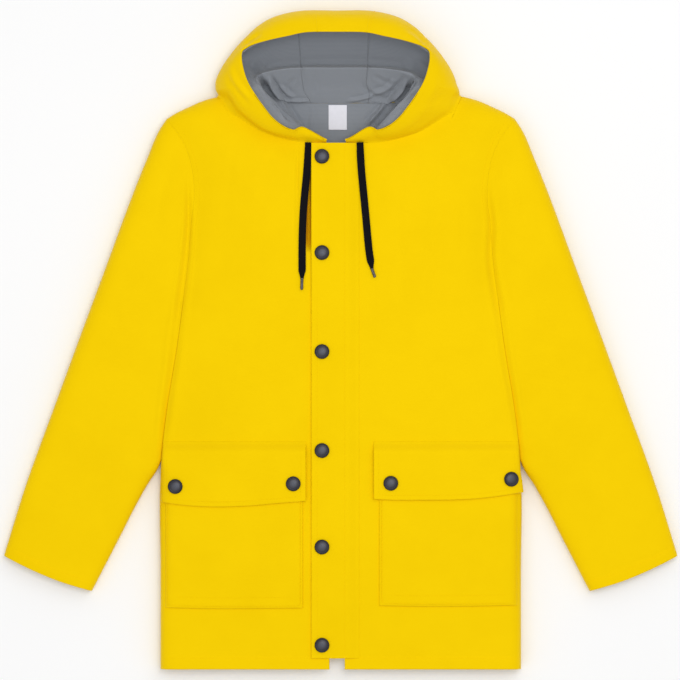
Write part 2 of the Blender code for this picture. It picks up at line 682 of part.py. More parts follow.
def make_hood(materials, collection):
    sheet = hood_sheet((0, 0.5, *HOOD_ROWS))
    make_panels("hood", sheet, WALL, materials["yellow"], collection)


def hood_inside(at, from_rim, offset):
    """A point inside the hood's wall: this far from the rim, and this far in from its outer face."""
    near = hood_sheet((at - 0.05, at, at + 0.05), 60)
    normal = facing_up(near)[1]
    index = int(np.searchsorted(lengths(near[1])[1:], from_rim))
    return near[1, index] - normal[index] * offset


def lining_section(at):
    """Points of one lining section in millimetres, from the neck seam over the crest to the rim."""
    row = row_between(LINING_SECTIONS, at)
    crown = 1 - ease((at - CROWN_LINING_ROW) / CROWN_LINING_ROWS)
    depth = WALL + LINING_WALL + 4 * SEAM_GAP
    hood_row = max(row[HOOD_ROW], 0.06)
    band = hood_inside(hood_row, SIDE_BAND_DEPTH + (BAND_DEPTH - SIDE_BAND_DEPTH) * crown, depth)
    rim = hood_inside(hood_row, RIM_MARGIN, depth)
    rising = at_lengths(smooth([row[INNER_END], row[SLOPE], row[CREST]]), np.linspace(0, 1, 6))
    down = smooth([row[CREST], row[CREASE], row[FLOOR], band, rim])
    falling = at_lengths(down, np.linspace(0, 1, 11))
    return np.concatenate([rising, falling[1:]])


def make_lining(materials, collection):
    sheet = np.array([lining_section(at) for at in (0, 0.5, *LINING_ROWS)])
    sheet[0, :, 0] = 0
    make_panels("hood_lining", sheet, LINING_WALL, materials["lining"], collection)


def slab(name, corner, opposite, material, collection):
    """A flat rectangular piece between two corners in millimetres."""
    bm = bmesh.new()
    bmesh.ops.create_cube(bm, size=1)
    corner, opposite = np.array(corner) * MM, np.array(opposite) * MM
    for vert in bm.verts:
        vert.co = (corner + opposite) / 2 + np.array(vert.co) * (opposite - corner)
    return add_object(name, bm, material, collection)


def make_neck(materials, collection):
    bottom = WALL + SEAM_GAP
    top = bottom + LINING_WALL
    slab(
        "neck_lining",
        (-NECK_LINING_HALF, NECK_LINING_BOTTOM_Y, bottom),
        (NECK_LINING_HALF, NECK_LINING_TOP_Y, top),
        materials["lining"],
        collection,
    )
    slab(
        "label",
        (LABEL_LEFT, LABEL_BOTTOM_Y, top + SEAM_GAP),
        (LABEL_RIGHT, LABEL_TOP_Y, top + SEAM_GAP + LABEL_WALL),
        materials["label"],
        collection,
    )


# ---- drawcords -----------------------------------------------------------------------------

def cord_lift(x):
    """How far a cord's underside stands off the fronts' face: it rides on the placket beside its edge."""
    beside = ease((x - CORD_WIDTH / 2 - PLACKET_RIGHT - 1) / 4) if x > 0 else 1.0
    return ON_FRONT + 0.1 + ON_PIECE * (1 - beside)


def cord_centres(name, count=12):
    """Middle points of a drawcord in millimetres, from its slot to its tip."""
    plan = at_lengths(smooth(CORD_ROUTES[name]), np.linspace(0, 1, count))
    heights = [height_at(x, y) + cord_lift(x) + CORD_THICKNESS / 2 for x, y in plan]
    return np.concatenate([plan, np.array(heights)[:, None]], axis=1)


def round_curve(name, centres, radius, material, collection):
    """A curve through middle points in millimetres, with a round bevel and filled caps."""
    data = bpy.data.curves.new(name, "CURVE")
    data.dimensions = "3D"
    data.twist_mode = "Z_UP"
    data.bevel_depth = radius * MM
    data.bevel_resolution = 2
    data.use_fill_caps = True
    spline = data.splines.new("POLY")
    spline.points.add(len(centres) - 1)
    for point, centre in zip(spline.points, centres):
        point.co = (*(centre * MM), 1)
    data.materials.append(material)
    obj = bpy.data.objects.new(name, data)
    collection.objects.link(obj)
    return obj


def flat_cord(name, centres, material, collection):
    """A flat cord with round edges: a round curve, extruded sideways, that narrows towards its tip."""
    data = round_curve(name, centres, CORD_THICKNESS / 2, material, collection).data
    data.extrude = (CORD_WIDTH - CORD_THICKNESS) / 2 * MM
    to_end = np.linalg.norm(centres - centres[-1], axis=1)
    for point, left in zip(data.splines[0].points, to_end):
        point.tilt = math.pi / 2
        point.radius = 1 - 0.5 * (1 - ease(left / CORD_TAPER))


def cord_tip(name, start, end, material, collection):
    """A small tube from the cord's end to the tip's own, lying on the front."""
    ends = [np.array([x, y, height_at(x, y) + SEAM_GAP + TIP_RADIUS]) for x, y in (start, end)]
    along = (ends[1] - ends[0]) / np.linalg.norm(ends[1] - ends[0])
    ends[0] += along * 2 * SEAM_GAP
    round_curve(name, np.array(ends), TIP_RADIUS, material, collection)


def make_cords(materials, collection):
    for name, tip_end in TIP_ENDS.items():
        centres = cord_centres(name)
        flat_cord("drawcord_" + name, centres, materials["cord"], collection)
        cord_tip("cord_tip_" + name, centres[-1, :2], tip_end, materials["tip"], collection)


def main():
    clear_scene()
    collection = bpy.data.collections.new("parka")
    bpy.context.scene.collection.children.link(collection)
    materials = make_materials()
    make_body(materials, collection)
    make_front_details(materials, collection)
    make_snaps(materials, collection)
    make_hood(materials, collection)
    make_lining(materials, collection)
    make_neck(materials, collection)
    make_cords(materials, collection)


main()
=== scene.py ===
"""How a child's hooded raincoat looks, laid flat on its back: cloth shells with their creases, seams,
stitching, snaps and drawcords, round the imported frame.

All tables are in millimetres from the middle of the laid coat, in the frame's own axes: +X is the
wearer's left, +Y runs from the hem to the hood, and the coat lies on z = 0. Outlines are given for the
+X half and mirrored for the other.
"""

import math

import bmesh
import bpy
import numpy as np
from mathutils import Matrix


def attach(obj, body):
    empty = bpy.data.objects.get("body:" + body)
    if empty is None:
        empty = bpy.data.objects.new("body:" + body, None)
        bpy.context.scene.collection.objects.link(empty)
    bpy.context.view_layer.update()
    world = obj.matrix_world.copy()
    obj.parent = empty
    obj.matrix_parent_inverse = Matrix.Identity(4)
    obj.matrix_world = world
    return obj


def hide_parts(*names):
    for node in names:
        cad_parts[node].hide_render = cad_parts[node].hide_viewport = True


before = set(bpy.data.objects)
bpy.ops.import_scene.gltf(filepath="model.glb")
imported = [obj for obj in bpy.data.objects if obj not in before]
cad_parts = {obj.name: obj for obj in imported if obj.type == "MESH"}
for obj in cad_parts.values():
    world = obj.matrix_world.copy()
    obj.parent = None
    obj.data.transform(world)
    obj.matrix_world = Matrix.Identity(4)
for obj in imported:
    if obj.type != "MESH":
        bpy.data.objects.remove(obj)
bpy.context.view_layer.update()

MM = 0.001

SIDES = (("right", -1), ("left", 1))

# The cloth's thickness, and the rolled form that it lies in.
WALL = 2.0
LINING_WALL = 1.4
LABEL_WALL = 0.7
SEAM_GAP = 0.3
SEWN_HALF = 0.004  # sewn edges meet, but for this much on each side
ON_FRONT = SEAM_GAP  # the underside of what lies on the fronts, over their outer face
ON_PIECE = SEAM_GAP + WALL  # and its upper side
BODY_HALF_DEPTH = 12.0
CUFF_HALF_DEPTH = 8.0
FOLD_REACH = 22.0
FOLD_POWER = 3.2  # how square the rolled folds are
CONTACT_POWER = 60.0  # how square where the sleeves lie against the body
ROUND_POWER = 2  # and round the shoulders' neck ends
NECK_ROUND = 42.0
# Where the sleeves lie against the body: from, fading in over, to, fading out over.
CONTACT_X = (140.0, 12.0, 215.0, 20.0)
CONTACT_Y = (-140.0, 90.0, 56.0, 12.0)
CROWN = 3.0
CROWN_REACH = 85.0
SEAM_DIP = 2.2
SEAM_DIP_REACH = 13.0
NECK_DIP_LEAST = 0.2
NECK_DIP_FROM_X = 25.0
NECK_DIP_FULL_X = 55.0
HEM_SAG = 4.0
HEM_SAG_REACH = 70.0
BACK_HEM_RISE_REACH = 110.0
BACK_HEM_RISE_HEIGHT = 80.0
HEM_Y = -328.6
UNDERARM_Y = 40.0
CUFF_Y = -250.0

# Outlines of the +X half, (x, y).
SIDE_EDGE = [
    (180.2, -328.6), (180.2, -230), (180.5, -145), (179, -118), (173.5, -70), (163, -5), (157, 40),
]
ARMHOLE = [
    (157, 40), (152, 80), (149, 118), (146.3, 140), (147, 162), (150.5, 180), (157, 197), (174, 221),
]
SHOULDER = [(174, 221), (165, 226.5), (153, 232.3), (137, 239.3), (121, 243.6)]
FRONT_NECK = [
    (121, 243.6), (113, 229), (102, 222), (91, 215), (80, 208.5), (66, 203.3), (55, 200.3), (42, 198),
    (28, 196.8),
]
BACK_NECK = [(121, 243.6), (90, 240.5), (55, 238.2), (0, 237)]
SLEEVE_OUTER = [
    (174, 221), (181, 210.3), (194, 180.2), (239.5, 60.2), (283.9, -60), (316.6, -150), (337, -215.8),
]
SLEEVE_LEAVES_Y = -120.0  # the sleeve lies against the body's side down to here, and then swings away
SLEEVE_BESIDE = 0.06
SLEEVE_INNER = [(184.2, -131), (191, -141), (202, -160), (222.5, -200), (249, -251.2)]
CUFF = [(337, -215.8), (308, -230.2), (282.5, -240.8), (249, -251.2)]

# Centre front, placket, pockets and flaps.
RIGHT_FRONT_EDGE = -11.2
LEFT_FRONT_EDGE = 3.8
CENTRE_NECK_Y = 196.6
PLACKET_LEFT = -29.5
PLACKET_RIGHT = 18.5
PLACKET_BOTTOM_Y = -317.5
BACK_HEM_Y = -316.0
POCKET_INNER_X = 38.5
POCKET_OUTER_X = 175.5
POCKET_TOP_Y = -118.0
POCKET_BOTTOMS = {
    "right": [(37.8, -267.2), (80, -267.6), (130, -267.8), (174.7, -266.8)],
    "left": [(38.3, -264.8), (80, -265.6), (130, -265.4), (175.9, -264.4)],
}
FLAP_INNER_X = 34.5
FLAP_OUTER_X = 178.4
FLAP_TOP_Y = -101.0
FLAP_BOTTOM_Y = -161.5
# Each flap's free edge, from its inner corner to its outer one.
FLAP_BOTTOMS = {
    "right": [(34.7, -160.4), (60.8, -162.5), (90.8, -165), (130.8, -166), (160, -164.2), (179.2, -161.6)],
    "left": [
        (32.6, -158.4), (48, -159.3), (80, -159.4), (110, -159.2), (140, -157.6), (160, -155.2),
        (179.2, -152),
    ],
}
FLAP_LIFT = 0.5
FLAP_CLIMB = 12.0
FLAP_ROOT = 0.05  # how far a flap's sewn edge stands off the front
FLAP_FLAT_TO = 9.0  # its upper side is pressed flat over this much
FLAP_TOP_INSET = 2.0  # its outer corner at the top is this much further in
FLAP_EDGE_THINNER = 0.5  # at its free edge
FLAP_SPREAD = {"right": 0.0, "left": 0.9}  # how far out its free corner stands over the rolled side
FLAP_SPREAD_FROM = 16.0
FLAP_SPREAD_FADE = 36.0
PRESSED_WALL = 0.2  # the thickness of a side that is pressed and sewn down flat
PLACKET_FLAT_FROM = 6.0  # the placket's right side is pressed like that from here to its edge
PLACKET_THINNED_GAP = 0.04
PLACKET_LIFT = 1.6  # the placket gapes by this much at its free edge
PLACKET_LIFT_REACH = 14.0
PLACKET_LIFT_Y = 116.0
PLACKET_LIFT_HALF = 44.0
POCKET_PRESSED = 0.9  # a pocket's sewn edges are pressed this much flatter
POCKET_PRESSED_UNDER = 0.26
POCKET_PRESS_REACH = 5.0
FRONT_SNAP_X = -18.7
FRONT_SNAP_YS = (183, 87, -11.5, -110, -206, -304)
FLAP_SNAPS = {"right": ((-164.6, -145.8), (-47.3, -143)), "left": ((49.8, -142.5), (169.2, -138.6))}

# Hood and its lining.
HOOD_X = -5.0
SHOULDER_ROW = 8
LAST_HOOD_ROW = 15
# Columns: rim x y z, bulge x y z, edge x y z, under x y, and the x of its end on the neck seam.
RIM, BULGE, TURN, SEAM_X = slice(0, 3), slice(3, 6), slice(6, 11), slice(11, 12)
HOOD_SECTIONS = [
    (0, 305.7, 48, 0, 320, 42, 0, 328.55, 20, 0, 318, 0),
    (29, 305.2, 48, 31, 319.5, 42, 34, 328.4, 20, 33, 317, 27),
    (48, 301.5, 47, 54, 315, 41, 60.8, 322.6, 19.5, 57, 312, 50),
    (66, 298, 45, 73, 307, 38, 78.8, 312.4, 19, 73, 302, 64),
    (81, 294, 42, 86.6, 299.6, 35, 91.8, 299.4, 18, 83, 290.6, 76),
    (92.5, 289, 40, 97, 288.5, 34, 103.5, 286.5, 17, 92, 280, 86),
    (93.6, 279, 41, 103, 275, 36, 114, 271.5, 16, 101, 268, 96),
    (90.5, 265, 42, 104, 262, 37, 120.5, 256.5, 14, 112, 253, 108),
    (86, 253.5, 43, 103, 250, 37, None, None, None, None, None, 120.97),
    (79, 242, 43, 96, 237, 36, None, None, None, None, None, 116.5),
    (71.5, 231.5, 43, 87, 225, 36, None, None, None, None, None, 102),
    (63.2, 221, 42, 74, 213, 35, None, None, None, None, None, 84),
    (52.6, 212.5, 39, 60, 206, 33, None, None, None, None, None, 66),
    (41.3, 208.2, 36, 44, 203, 31.5, None, None, None, None, None, 46),
    (31.5, 211.5, 34, 32.5, 204, 31, None, None, None, None, None, 33),
    (9.5, 198.2, 29.5, 9.5, 197.9, 28.5, None, None, None, None, None, 9.5),
]
# Columns: the hood section above, then inner x y z, slope x y z, crest x y z, crease x y z, floor x y z.
HOOD_ROW = 0
INNER_END, SLOPE, CREST, CREASE, FLOOR = (slice(first, first + 3) for first in range(1, 16, 3))
LINING_SECTIONS = [
    (0, 0, 237.34, 4.2, 0, 254, 13, 0, 271, 27, 0, 276.5, 8, 0, 300, 4.2),
    (1, 26, 237.34, 4.2, 28.5, 254, 13, 30, 271, 27, 30, 276.5, 8, 31, 299.5, 4.2),
    (2.5, 40, 237.34, 4.2, 45, 253, 13, 50, 270, 27.5, 52, 275.5, 8, 55, 292, 4.2),
    (4.6, 48, 237.34, 4.3, 59, 252, 13, 68, 267, 28.5, 71.5, 271, 11, 77, 278, 6),
    (6.9, 53, 237.34, 4.8, 68, 251.5, 10, 78.5, 261.5, 31, 82.5, 264, 24, 87, 266, 21),
    (8.1, 53, 235.8, 5.4, 68.5, 247.5, 12, 74.5, 251, 33, 80, 252.6, 35, 85.5, 252.7, 36),
    (9, 51, 232, 5.4, 62.5, 238, 12, 67.5, 241, 32.5, 73, 242.2, 35, 79, 242, 36),
    (9.9, 47.5, 226, 5.4, 56.5, 230, 12, 61.5, 232.8, 32.5, 67, 233, 35, 72.5, 232.3, 36),
    (10.9, 43, 218.5, 5.6, 48.2, 221.6, 13, 52.6, 224.4, 32, 58, 223.8, 34.5, 63.6, 222.3, 35.5),
    (12, 36.5, 212.5, 6.5, 40.4, 214.2, 14, 43.8, 216.2, 30, 48, 215, 33, 52, 213.5, 34),
    (13.3, 30, 209.5, 9, 32.4, 210.2, 15, 34.8, 210.8, 26, 36.6, 209.8, 28.5, 38.4, 208.6, 30.5),
]
RIM_MARGIN = 3.0
BAND_DEPTH = 24.0
SIDE_BAND_DEPTH = 4.5
CROWN_LINING_ROW = 2.6
CROWN_LINING_ROWS = 2.2
NECK_LINING_HALF = 90.0
NECK_LINING_TOP_Y = 237.3
NECK_LINING_BOTTOM_Y = 150.0
LABEL_LEFT = -12.3
LABEL_RIGHT = 6.2
LABEL_TOP_Y = 235.4
LABEL_BOTTOM_Y = 210.5

# Drawcord ends.
CORD_WIDTH = 7.4
CORD_THICKNESS = 1.8
TIP_RADIUS = 1.5
CORD_TAPER = 10.0
CORD_STEPS = 240
CORD_AROUND = 28
CORD_SQUARE = 3.2  # how flat its round is
CORD_NARROWS = 0.55  # at its tip, by this share
CORD_THINS = 0.25
CORD_SOFT_START = 0.08  # at its slot it is narrower by this share
CORD_START_REACH = 14.0
CORD_CLEARANCE = 0.1  # between a cord and the fronts
CORD_OVER_PLACKET = 1.2  # it rides this much higher on the placket's thin side
CORD_RIDES_TO = 5.0
CORD_RIDE_FADE = 7.0
TIP_STEPS = 40
TIP_AROUND = 20
TIP_FLAT = 0.9  # its height as a share of its width
TIP_INSIDE = 0.1  # a tip starts inside its cord by this share of its length
TIP_BINDING = 0.04  # the rings of its binding, as a share of its width
TIP_BINDING_TURNS = 40
TIP_POINT = 0.25  # its last part narrows by this share
TIP_POINT_FROM = 0.9
TIP_POINT_FADE = 0.1
# The middle of each flat cord, from its slot in the neck seam to its tip.
CORD_ROUTES = {
    "right": [
        (-32.2, 197.0), (-32.7, 182), (-33.7, 168), (-35.4, 150), (-37, 132), (-38, 112), (-38.4, 92),
        (-38.5, 72), (-38.6, 60.5),
    ],
    "left": [
        (19.2, 197.0), (19.8, 182), (20.7, 168), (22.6, 148), (24.7, 126), (26.7, 104), (28.3, 88),
        (31.2, 70.4),
    ],
}
TIP_ENDS = {"right": (-38.9, 50.0), "left": (34.1, 62.3)}

# Camera: straight above the coat, far off with a long lens, so that a millimetre is a pixel.
CAMERA_X = -0.75
CAMERA_HEIGHT_OF_SCALE = 12.0  # the height above the floor at which that scale is exact
CAMERA_LENS = 200.0
CAMERA_SENSOR = 36.0
VIEW_WIDTH = 680.0
CAMERA_FAR = 50.0  # in metres


# ---- curves and surfaces ---------------------------------------------------------------------

def hermite(u, first, last, leaving, arriving, reach=1.0):
    """A smooth curve from first to last at shares u, with its slopes at both ends, over this reach."""
    return (
        (2 * u**3 - 3 * u**2 + 1) * first
        + (u**3 - 2 * u**2 + u) * reach * leaving
        + (3 * u**2 - 2 * u**3) * last
        + (u**3 - u**2) * reach * arriving
    )


def smooth(points, samples=16):
    """A dense smooth curve through the points, with the ends' own directions."""
    p = np.asarray(points, float)
    gaps = np.linalg.norm(np.diff(p, axis=0), axis=1)
    slopes = np.diff(p, axis=0) / gaps[:, None]
    tangents = np.empty_like(p)
    tangents[0], tangents[-1] = slopes[0], slopes[-1]
    before, after = gaps[:-1, None], gaps[1:, None]
    tangents[1:-1] = (slopes[:-1] * after + slopes[1:] * before) / (before + after)
    u = np.linspace(0, 1, samples, endpoint=False)[:, None]
    out = [hermite(u, p[i], p[i + 1], *tangents[i:i + 2], gap) for i, gap in enumerate(gaps)]
    return np.concatenate([*out, p[-1:]])


def lengths(points):
    """The length along a line of points up to each of them."""
    steps = np.linalg.norm(np.diff(points, axis=0), axis=1)
    return np.concatenate([[0], np.cumsum(steps)])


def at_lengths(curve, fractions):
    """Points of a dense curve at these fractions of its length."""
    length = lengths(curve)
    wanted = np.asarray(fractions) * length[-1]
    return np.stack([np.interp(wanted, length, values) for values in curve.T], axis=1)


def patch(bottom, top, left, right, across, along):
    """A plan grid that fills four boundary curves: rows from bottom to top, columns left to right."""
    low, high = at_lengths(bottom, across), at_lengths(top, across)
    first, last = at_lengths(left, along), at_lengths(right, along)
    u = np.asarray(across)[None, :, None]
    v = np.asarray(along)[:, None, None]
    corners = (
        (1 - u) * (1 - v) * low[0] + u * (1 - v) * low[-1] + (1 - u) * v * high[0] + u * v * high[-1]
    )
    return (1 - v) * low[None] + v * high[None] + (1 - u) * first[:, None] + u * last[:, None] - corners


BLOCK = 3000  # plan points measured at a time


def nearest_in_block(flat, middle, line):
    """For plan points: their distance to a line, the way out to it, and how far along it that is."""
    a, run = line[:-1][None], np.diff(line, axis=0)[None]
    share = np.clip(((flat[:, None] - a) * run).sum(-1) / (run**2).sum(-1), 0, 1)[..., None]
    away = a + share * run - flat[:, None]
    found = np.linalg.norm(away, axis=-1)
    index = found.argmin(axis=1)
    pick = np.arange(len(flat))
    along = run[0, index]
    across = np.stack([along[:, 1], -along[:, 0]], axis=-1)
    side = np.sign(((flat - middle) * across).sum(-1))
    near = found[pick, index]
    direction = np.where(near[:, None] > 0.05, away[pick, index], across * side[:, None])
    steps = np.linalg.norm(run[0], axis=1)
    start = np.concatenate([[0], np.cumsum(steps)[:-1]])
    travelled = start[index] + share[pick, index, 0] * steps[index]
    return near, direction, travelled


def nearest(plan, lines, middle):
    """For each plan point of the +X half: its distance to the lines, and the direction out to them."""
    flat, centre = plan.reshape(-1, 2), np.broadcast_to(middle, plan.shape).reshape(-1, 2)
    best = np.full(len(flat), np.inf)
    out = np.zeros((len(flat), 2))
    for first in range(0, len(flat), BLOCK):
        block = slice(first, first + BLOCK)
        for line in lines:
            near, direction, _ = nearest_in_block(flat[block], centre[block], line)
            closer = near < best[block]
            best[block] = np.where(closer, near, best[block])
            out[block] = np.where(closer[:, None], direction, out[block])
    out /= np.linalg.norm(out, axis=-1, keepdims=True)
    return best.reshape(plan.shape[:-1]), out.reshape(plan.shape)


def distance(plan, lines):
    """For each plan point of the +X half: its distance to the lines."""
    return nearest(plan, lines, np.zeros(2))[0]


def mirrored(line):
    return np.asarray(line, float) * np.array([-1, 1])


def ease(x):
    """0 up to x = 0, 1 from x = 1, and a soft step between."""
    x = np.clip(x, 0, 1)
    return x * x * (3 - 2 * x)


def bump(x):
    """1 at x = 0 and a soft fall to 0 on both sides."""
    return np.exp(-(x**2))


def between(value, limits):
    """1 between limits given as from, fading in over, to and fading out over. 0 outside them."""
    low, fade_in, high, fade_out = limits
    return ease((value - low) / fade_in) * ease((high - value) / fade_out)


SIDE = smooth(SIDE_EDGE)
ARM = smooth(ARMHOLE)
SHOULDER_LINE = smooth(SHOULDER)
NECK = smooth(FRONT_NECK)
OUTER = smooth(SLEEVE_OUTER)
BESIDE_BODY = SIDE[SIDE[:, 1] > SLEEVE_LEAVES_Y][::-1] + [SLEEVE_BESIDE, 0]
INNER = np.concatenate([BESIDE_BODY, smooth([BESIDE_BODY[-1], *SLEEVE_INNER])[1:]])
CUFF_LINE = smooth(CUFF)
BACK_NECK_LINE = smooth(BACK_NECK)
BODY_FOLDS = (SIDE, SHOULDER_LINE, OUTER)
SLEEVE_FOLDS = (OUTER, INNER, SHOULDER_LINE)
BODY_MIDDLE = np.array([60.0, -60.0])


def half_plane(plan):
    """Plan points folded onto the +X half."""
    return np.concatenate([np.abs(plan[..., :1]), plan[..., 1:]], axis=-1)


# ---- creases ---------------------------------------------------------------------------------

# Each crease is a soft line pressed into or raised from the cloth: its name, how deep it goes (below 0
# is a trough, above 0 a ridge), its half width at both ends, and its points. Those of the top run over
# the fronts and sleeves alike.
TOP_CREASES = [
    (
        "right_armhole", -1.9, 2.0, 4.2,
        [(-152.8, 172), (-152, 140), (-152.4, 110), (-155.2, 78), (-160, 38), (-164, 4), (-166, -18)],
    ),
    (
        "left_armhole", -1.7, 2.4, 4.0,
        [(146.8, 165), (147.4, 145), (150.4, 112), (149.2, 84), (153, 56), (157, 34), (163.4, -14)],
    ),
    (
        "right_side", -2.0, 4.2, 3.2,
        [(-163, 20), (-166.4, -18), (-171.8, -56), (-176.2, -90), (-179.3, -122)],
    ),
    ("left_side", -1.8, 4.0, 3.0, [(159, 26), (164.2, -18), (171, -56), (176.4, -90), (179.6, -122)]),
    ("beside_placket", -0.9, 1.3, 1.6, [(-42.6, 200), (-43.3, 165), (-43.4, 120), (-42.2, 80)]),
    ("left_chest_a", -0.22, 4.5, 4, [(60, 195), (58, 140), (59, 70), (62, 5)]),
    ("left_chest_b", -0.26, 4, 5, [(96, 198), (93, 140), (91, 60), (94, -12)]),
    ("left_chest_c", -0.22, 3, 3, [(122, 148), (121, 112), (122, 78)]),
    ("right_chest", -0.12, 5, 4, [(-74, 186), (-80, 120), (-82, 40)]),
    ("right_yoke", -0.12, 4, 4, [(-104, 206), (-112, 150), (-118, 96)]),
    ("right_waist", 0.12, 5, 6, [(-60, -60), (-84, -82), (-120, -92)]),
    ("left_waist", -0.14, 5, 5, [(48, -66), (86, -80), (128, -74)]),
    ("right_elbow_a", -0.2, 3.5, 5, [(-176, 40), (-196, 26), (-224, 22), (-246, 30)]),
    ("right_elbow_b", -0.16, 4, 4, [(-184, -16), (-208, -30), (-240, -34)]),
    ("right_elbow_c", 0.15, 4, 5, [(-186, 12), (-214, -2), (-250, 0)]),
    ("right_forearm", -0.16, 4, 5, [(-222, -70), (-243, -120), (-258, -178)]),
    ("right_cap", -0.2, 3, 4, [(-163, 186), (-176, 150), (-186, 104)]),
    ("left_elbow_a", -0.18, 4, 5, [(180, 30), (204, 12), (236, 10)]),
    ("left_elbow_b", -0.18, 4, 4, [(190, -34), (218, -42), (250, -36)]),
    ("left_elbow_c", 0.14, 5, 4, [(184, -2), (212, -16), (246, -12)]),
    ("left_forearm", -0.16, 5, 4, [(228, -86), (252, -132), (272, -186)]),
    ("left_cap", -0.2, 3, 4, [(160, 190), (172, 156), (180, 112)]),
    ("right_hem", -0.16, 4, 7, [(-96, -276), (-92, -300), (-95, -322)]),
    ("left_hem", -0.16, 4, 7, [(112, -280), (116, -302), (113, -322)]),
]
BACK_CREASES = [
    ("middle", 0.5, 4, 6, [(-6, 150), (-14, 60), (-8, -40)]),
    ("shoulder_right", 0.5, 4, 3, [(-60, 170), (-92, 150), (-126, 142)]),
    ("shoulder_left", 0.45, 3, 4, [(52, 176), (88, 160), (120, 156)]),
    ("waist_right", 0.5, 5, 4, [(-40, -70), (-86, -92), (-140, -88)]),
    ("waist_left", 0.4, 5, 5, [(34, -100), (80, -84), (136, -96)]),
    ("skirt", 0.35, 4, 8, [(60, -200), (66, -250), (62, -300)]),
]
HOOD_CREASES = [
    ("left_corner", -2.4, 2.6, 2.8, [(64, 311.5), (75, 304.8), (83.5, 297), (88, 290)]),
    ("right_corner", -2.2, 2.8, 2.4, [(-77, 306.5), (-86.5, 301), (-93.5, 296), (-99.5, 289)]),
    ("right_streak_a", -0.7, 3.2, 3, [(-108.5, 284), (-105, 268), (-99, 257), (-91, 246), (-82, 235)]),
    ("right_streak_b", -0.7, 2.6, 3, [(-114.5, 266), (-109, 254), (-98, 241), (-88, 230)]),
    ("right_streak_c", 0.5, 2.6, 2.6, [(-111.5, 275), (-107, 262), (-99, 249), (-86, 234)]),
    ("left_streak", -0.45, 3.4, 3, [(96, 268), (99, 254), (94, 240), (84, 229)]),
    ("crown", -0.35, 4, 4, [(-40, 322), (-22, 318), (0, 317)]),
]
LINING_CREASES = [
    ("left_pleat_a", -1.6, 2.4, 2, [(20, 262), (24, 252), (34, 244), (56, 241)]),
    ("left_pleat_b", -1.1, 2, 2, [(30, 266), (44, 258), (60, 254)]),
    ("right_pleat_a", -1.0, 2.2, 2, [(-44, 264), (-52, 252), (-50, 240)]),
    ("right_pleat_b", -1.2, 2.2, 2.4, [(-70, 262), (-60, 250), (-48, 243)]),
    ("middle_pleat", -0.6, 2, 2.6, [(-27, 268), (-25.5, 256), (-27, 243)]),
    ("crown_pleat", -1.2, 2.4, 2.4, [(-84, 284), (-78, 277), (-76, 270)]),
    ("right_seam", -0.9, 0.9, 1.0, [(-37.5, 304), (-38.6, 290), (-38.8, 280), (-38, 270), (-35, 250)]),
    ("left_seam", -0.9, 0.9, 1.0, [(27.8, 304), (28.4, 290), (28.6, 280), (27, 268), (25, 250)]),
    ("right_dash", 2.6, 1.5, 1.4, [(-62, 240.6), (-50, 239.6), (-38, 239.4), (-30, 240)]),
    ("left_dash", 2.4, 1.6, 1.5, [(4, 239.4), (16, 240.6), (28, 243.6), (36, 247)]),
    (
        "above_ridge", -3.0, 2.2, 2.2,
        [(-86, 265), (-66, 273), (-40, 276), (0, 277), (40, 275.5), (60, 273), (82, 264)],
    ),
    ("right_hollow", -5, 4, 3.4, [(-92, 280), (-86, 270), (-82, 262)]),
    ("left_hollow", -6, 4.5, 4, [(60, 277), (72, 272.5), (82, 266), (88, 262)]),
    (
        "right_fold", -8, 2.2, 2,
        [(-84, 268), (-78, 257), (-70.5, 246.5), (-63.5, 237), (-56, 226), (-49, 215.5)],
    ),
    ("right_rumple", 8, 2.0, 1.8, [(-74, 264), (-68, 254), (-61, 245), (-55, 238)]),
    ("right_rumple_b", 2.6, 2, 2.2, [(-64, 256), (-54, 247), (-44, 241)]),
    ("left_fold", -8, 2.8, 2, [(79, 265), (67, 250), (57, 239), (46, 231), (36, 222.5), (29, 216)]),
    ("left_rumple", 7.5, 2.1, 1.9, [(68, 262), (60, 252), (53, 243.5), (47, 238)]),
    ("left_rumple_b", 2.6, 2.2, 2, [(56, 262), (46, 251), (30, 246)]),
]
NECK_CREASES = [
    ("right_rumple", 5, 1.8, 2.2, [(-58, 240), (-53, 231), (-47, 221), (-40, 210)]),
    ("left_rumple", 5, 1.8, 2.2, [(47, 241), (40, 231), (32, 222), (24, 213)]),
    ("middle_pleat", 0.6, 1.6, 2, [(-30, 240), (-29, 228), (-31, 210)]),
]
CREASE_FADE = 0.3  # a crease fades in and out over this share of its length at each end
CREASE_REACH = 4  # it changes nothing further off than this many of its half widths
SWELL = 0.3  # the cloth beside a crease swells by this share of its depth
SWELL_AT = 1.9  # in the crease's half widths
SWELL_HALF = 0.8

# Seams, hems and stitching.
ARM_GROOVE = 0.35
ARM_GROOVE_HALF = 1.8
HEM_BAND = 11.5  # from the hem's or cuff's edge to its stitching
CUFF_BAND = 9.5
ARM_STITCH = 5.0  # from the armhole's seam to the stitching beside it
HEM_STEP = 0.5
HEM_STEP_REACH = 1.6
STITCH_DIP = 0.2
STITCH_DIP_HALF = 1.1
PUCKER = 0.07
PUCKER_REACH = 6

# The right front drops away beside the placket's free edge. Its y is from, fading in over, to, fading
# out over.
GAPE_DEPTH = 14.0
GAPE_X = -31.8
GAPE_HALF = 2.6
GAPE_Y = (86.0, 18.0, 192.0, 42.0)

# The cloth's broad waves: each one's angle, its length as a share of their size, and its shift.
SWAY_WAVES = ((0.3, 1.0, 0.4), (1.5, 1.37, 2.1), (2.4, 0.81, 4.0))


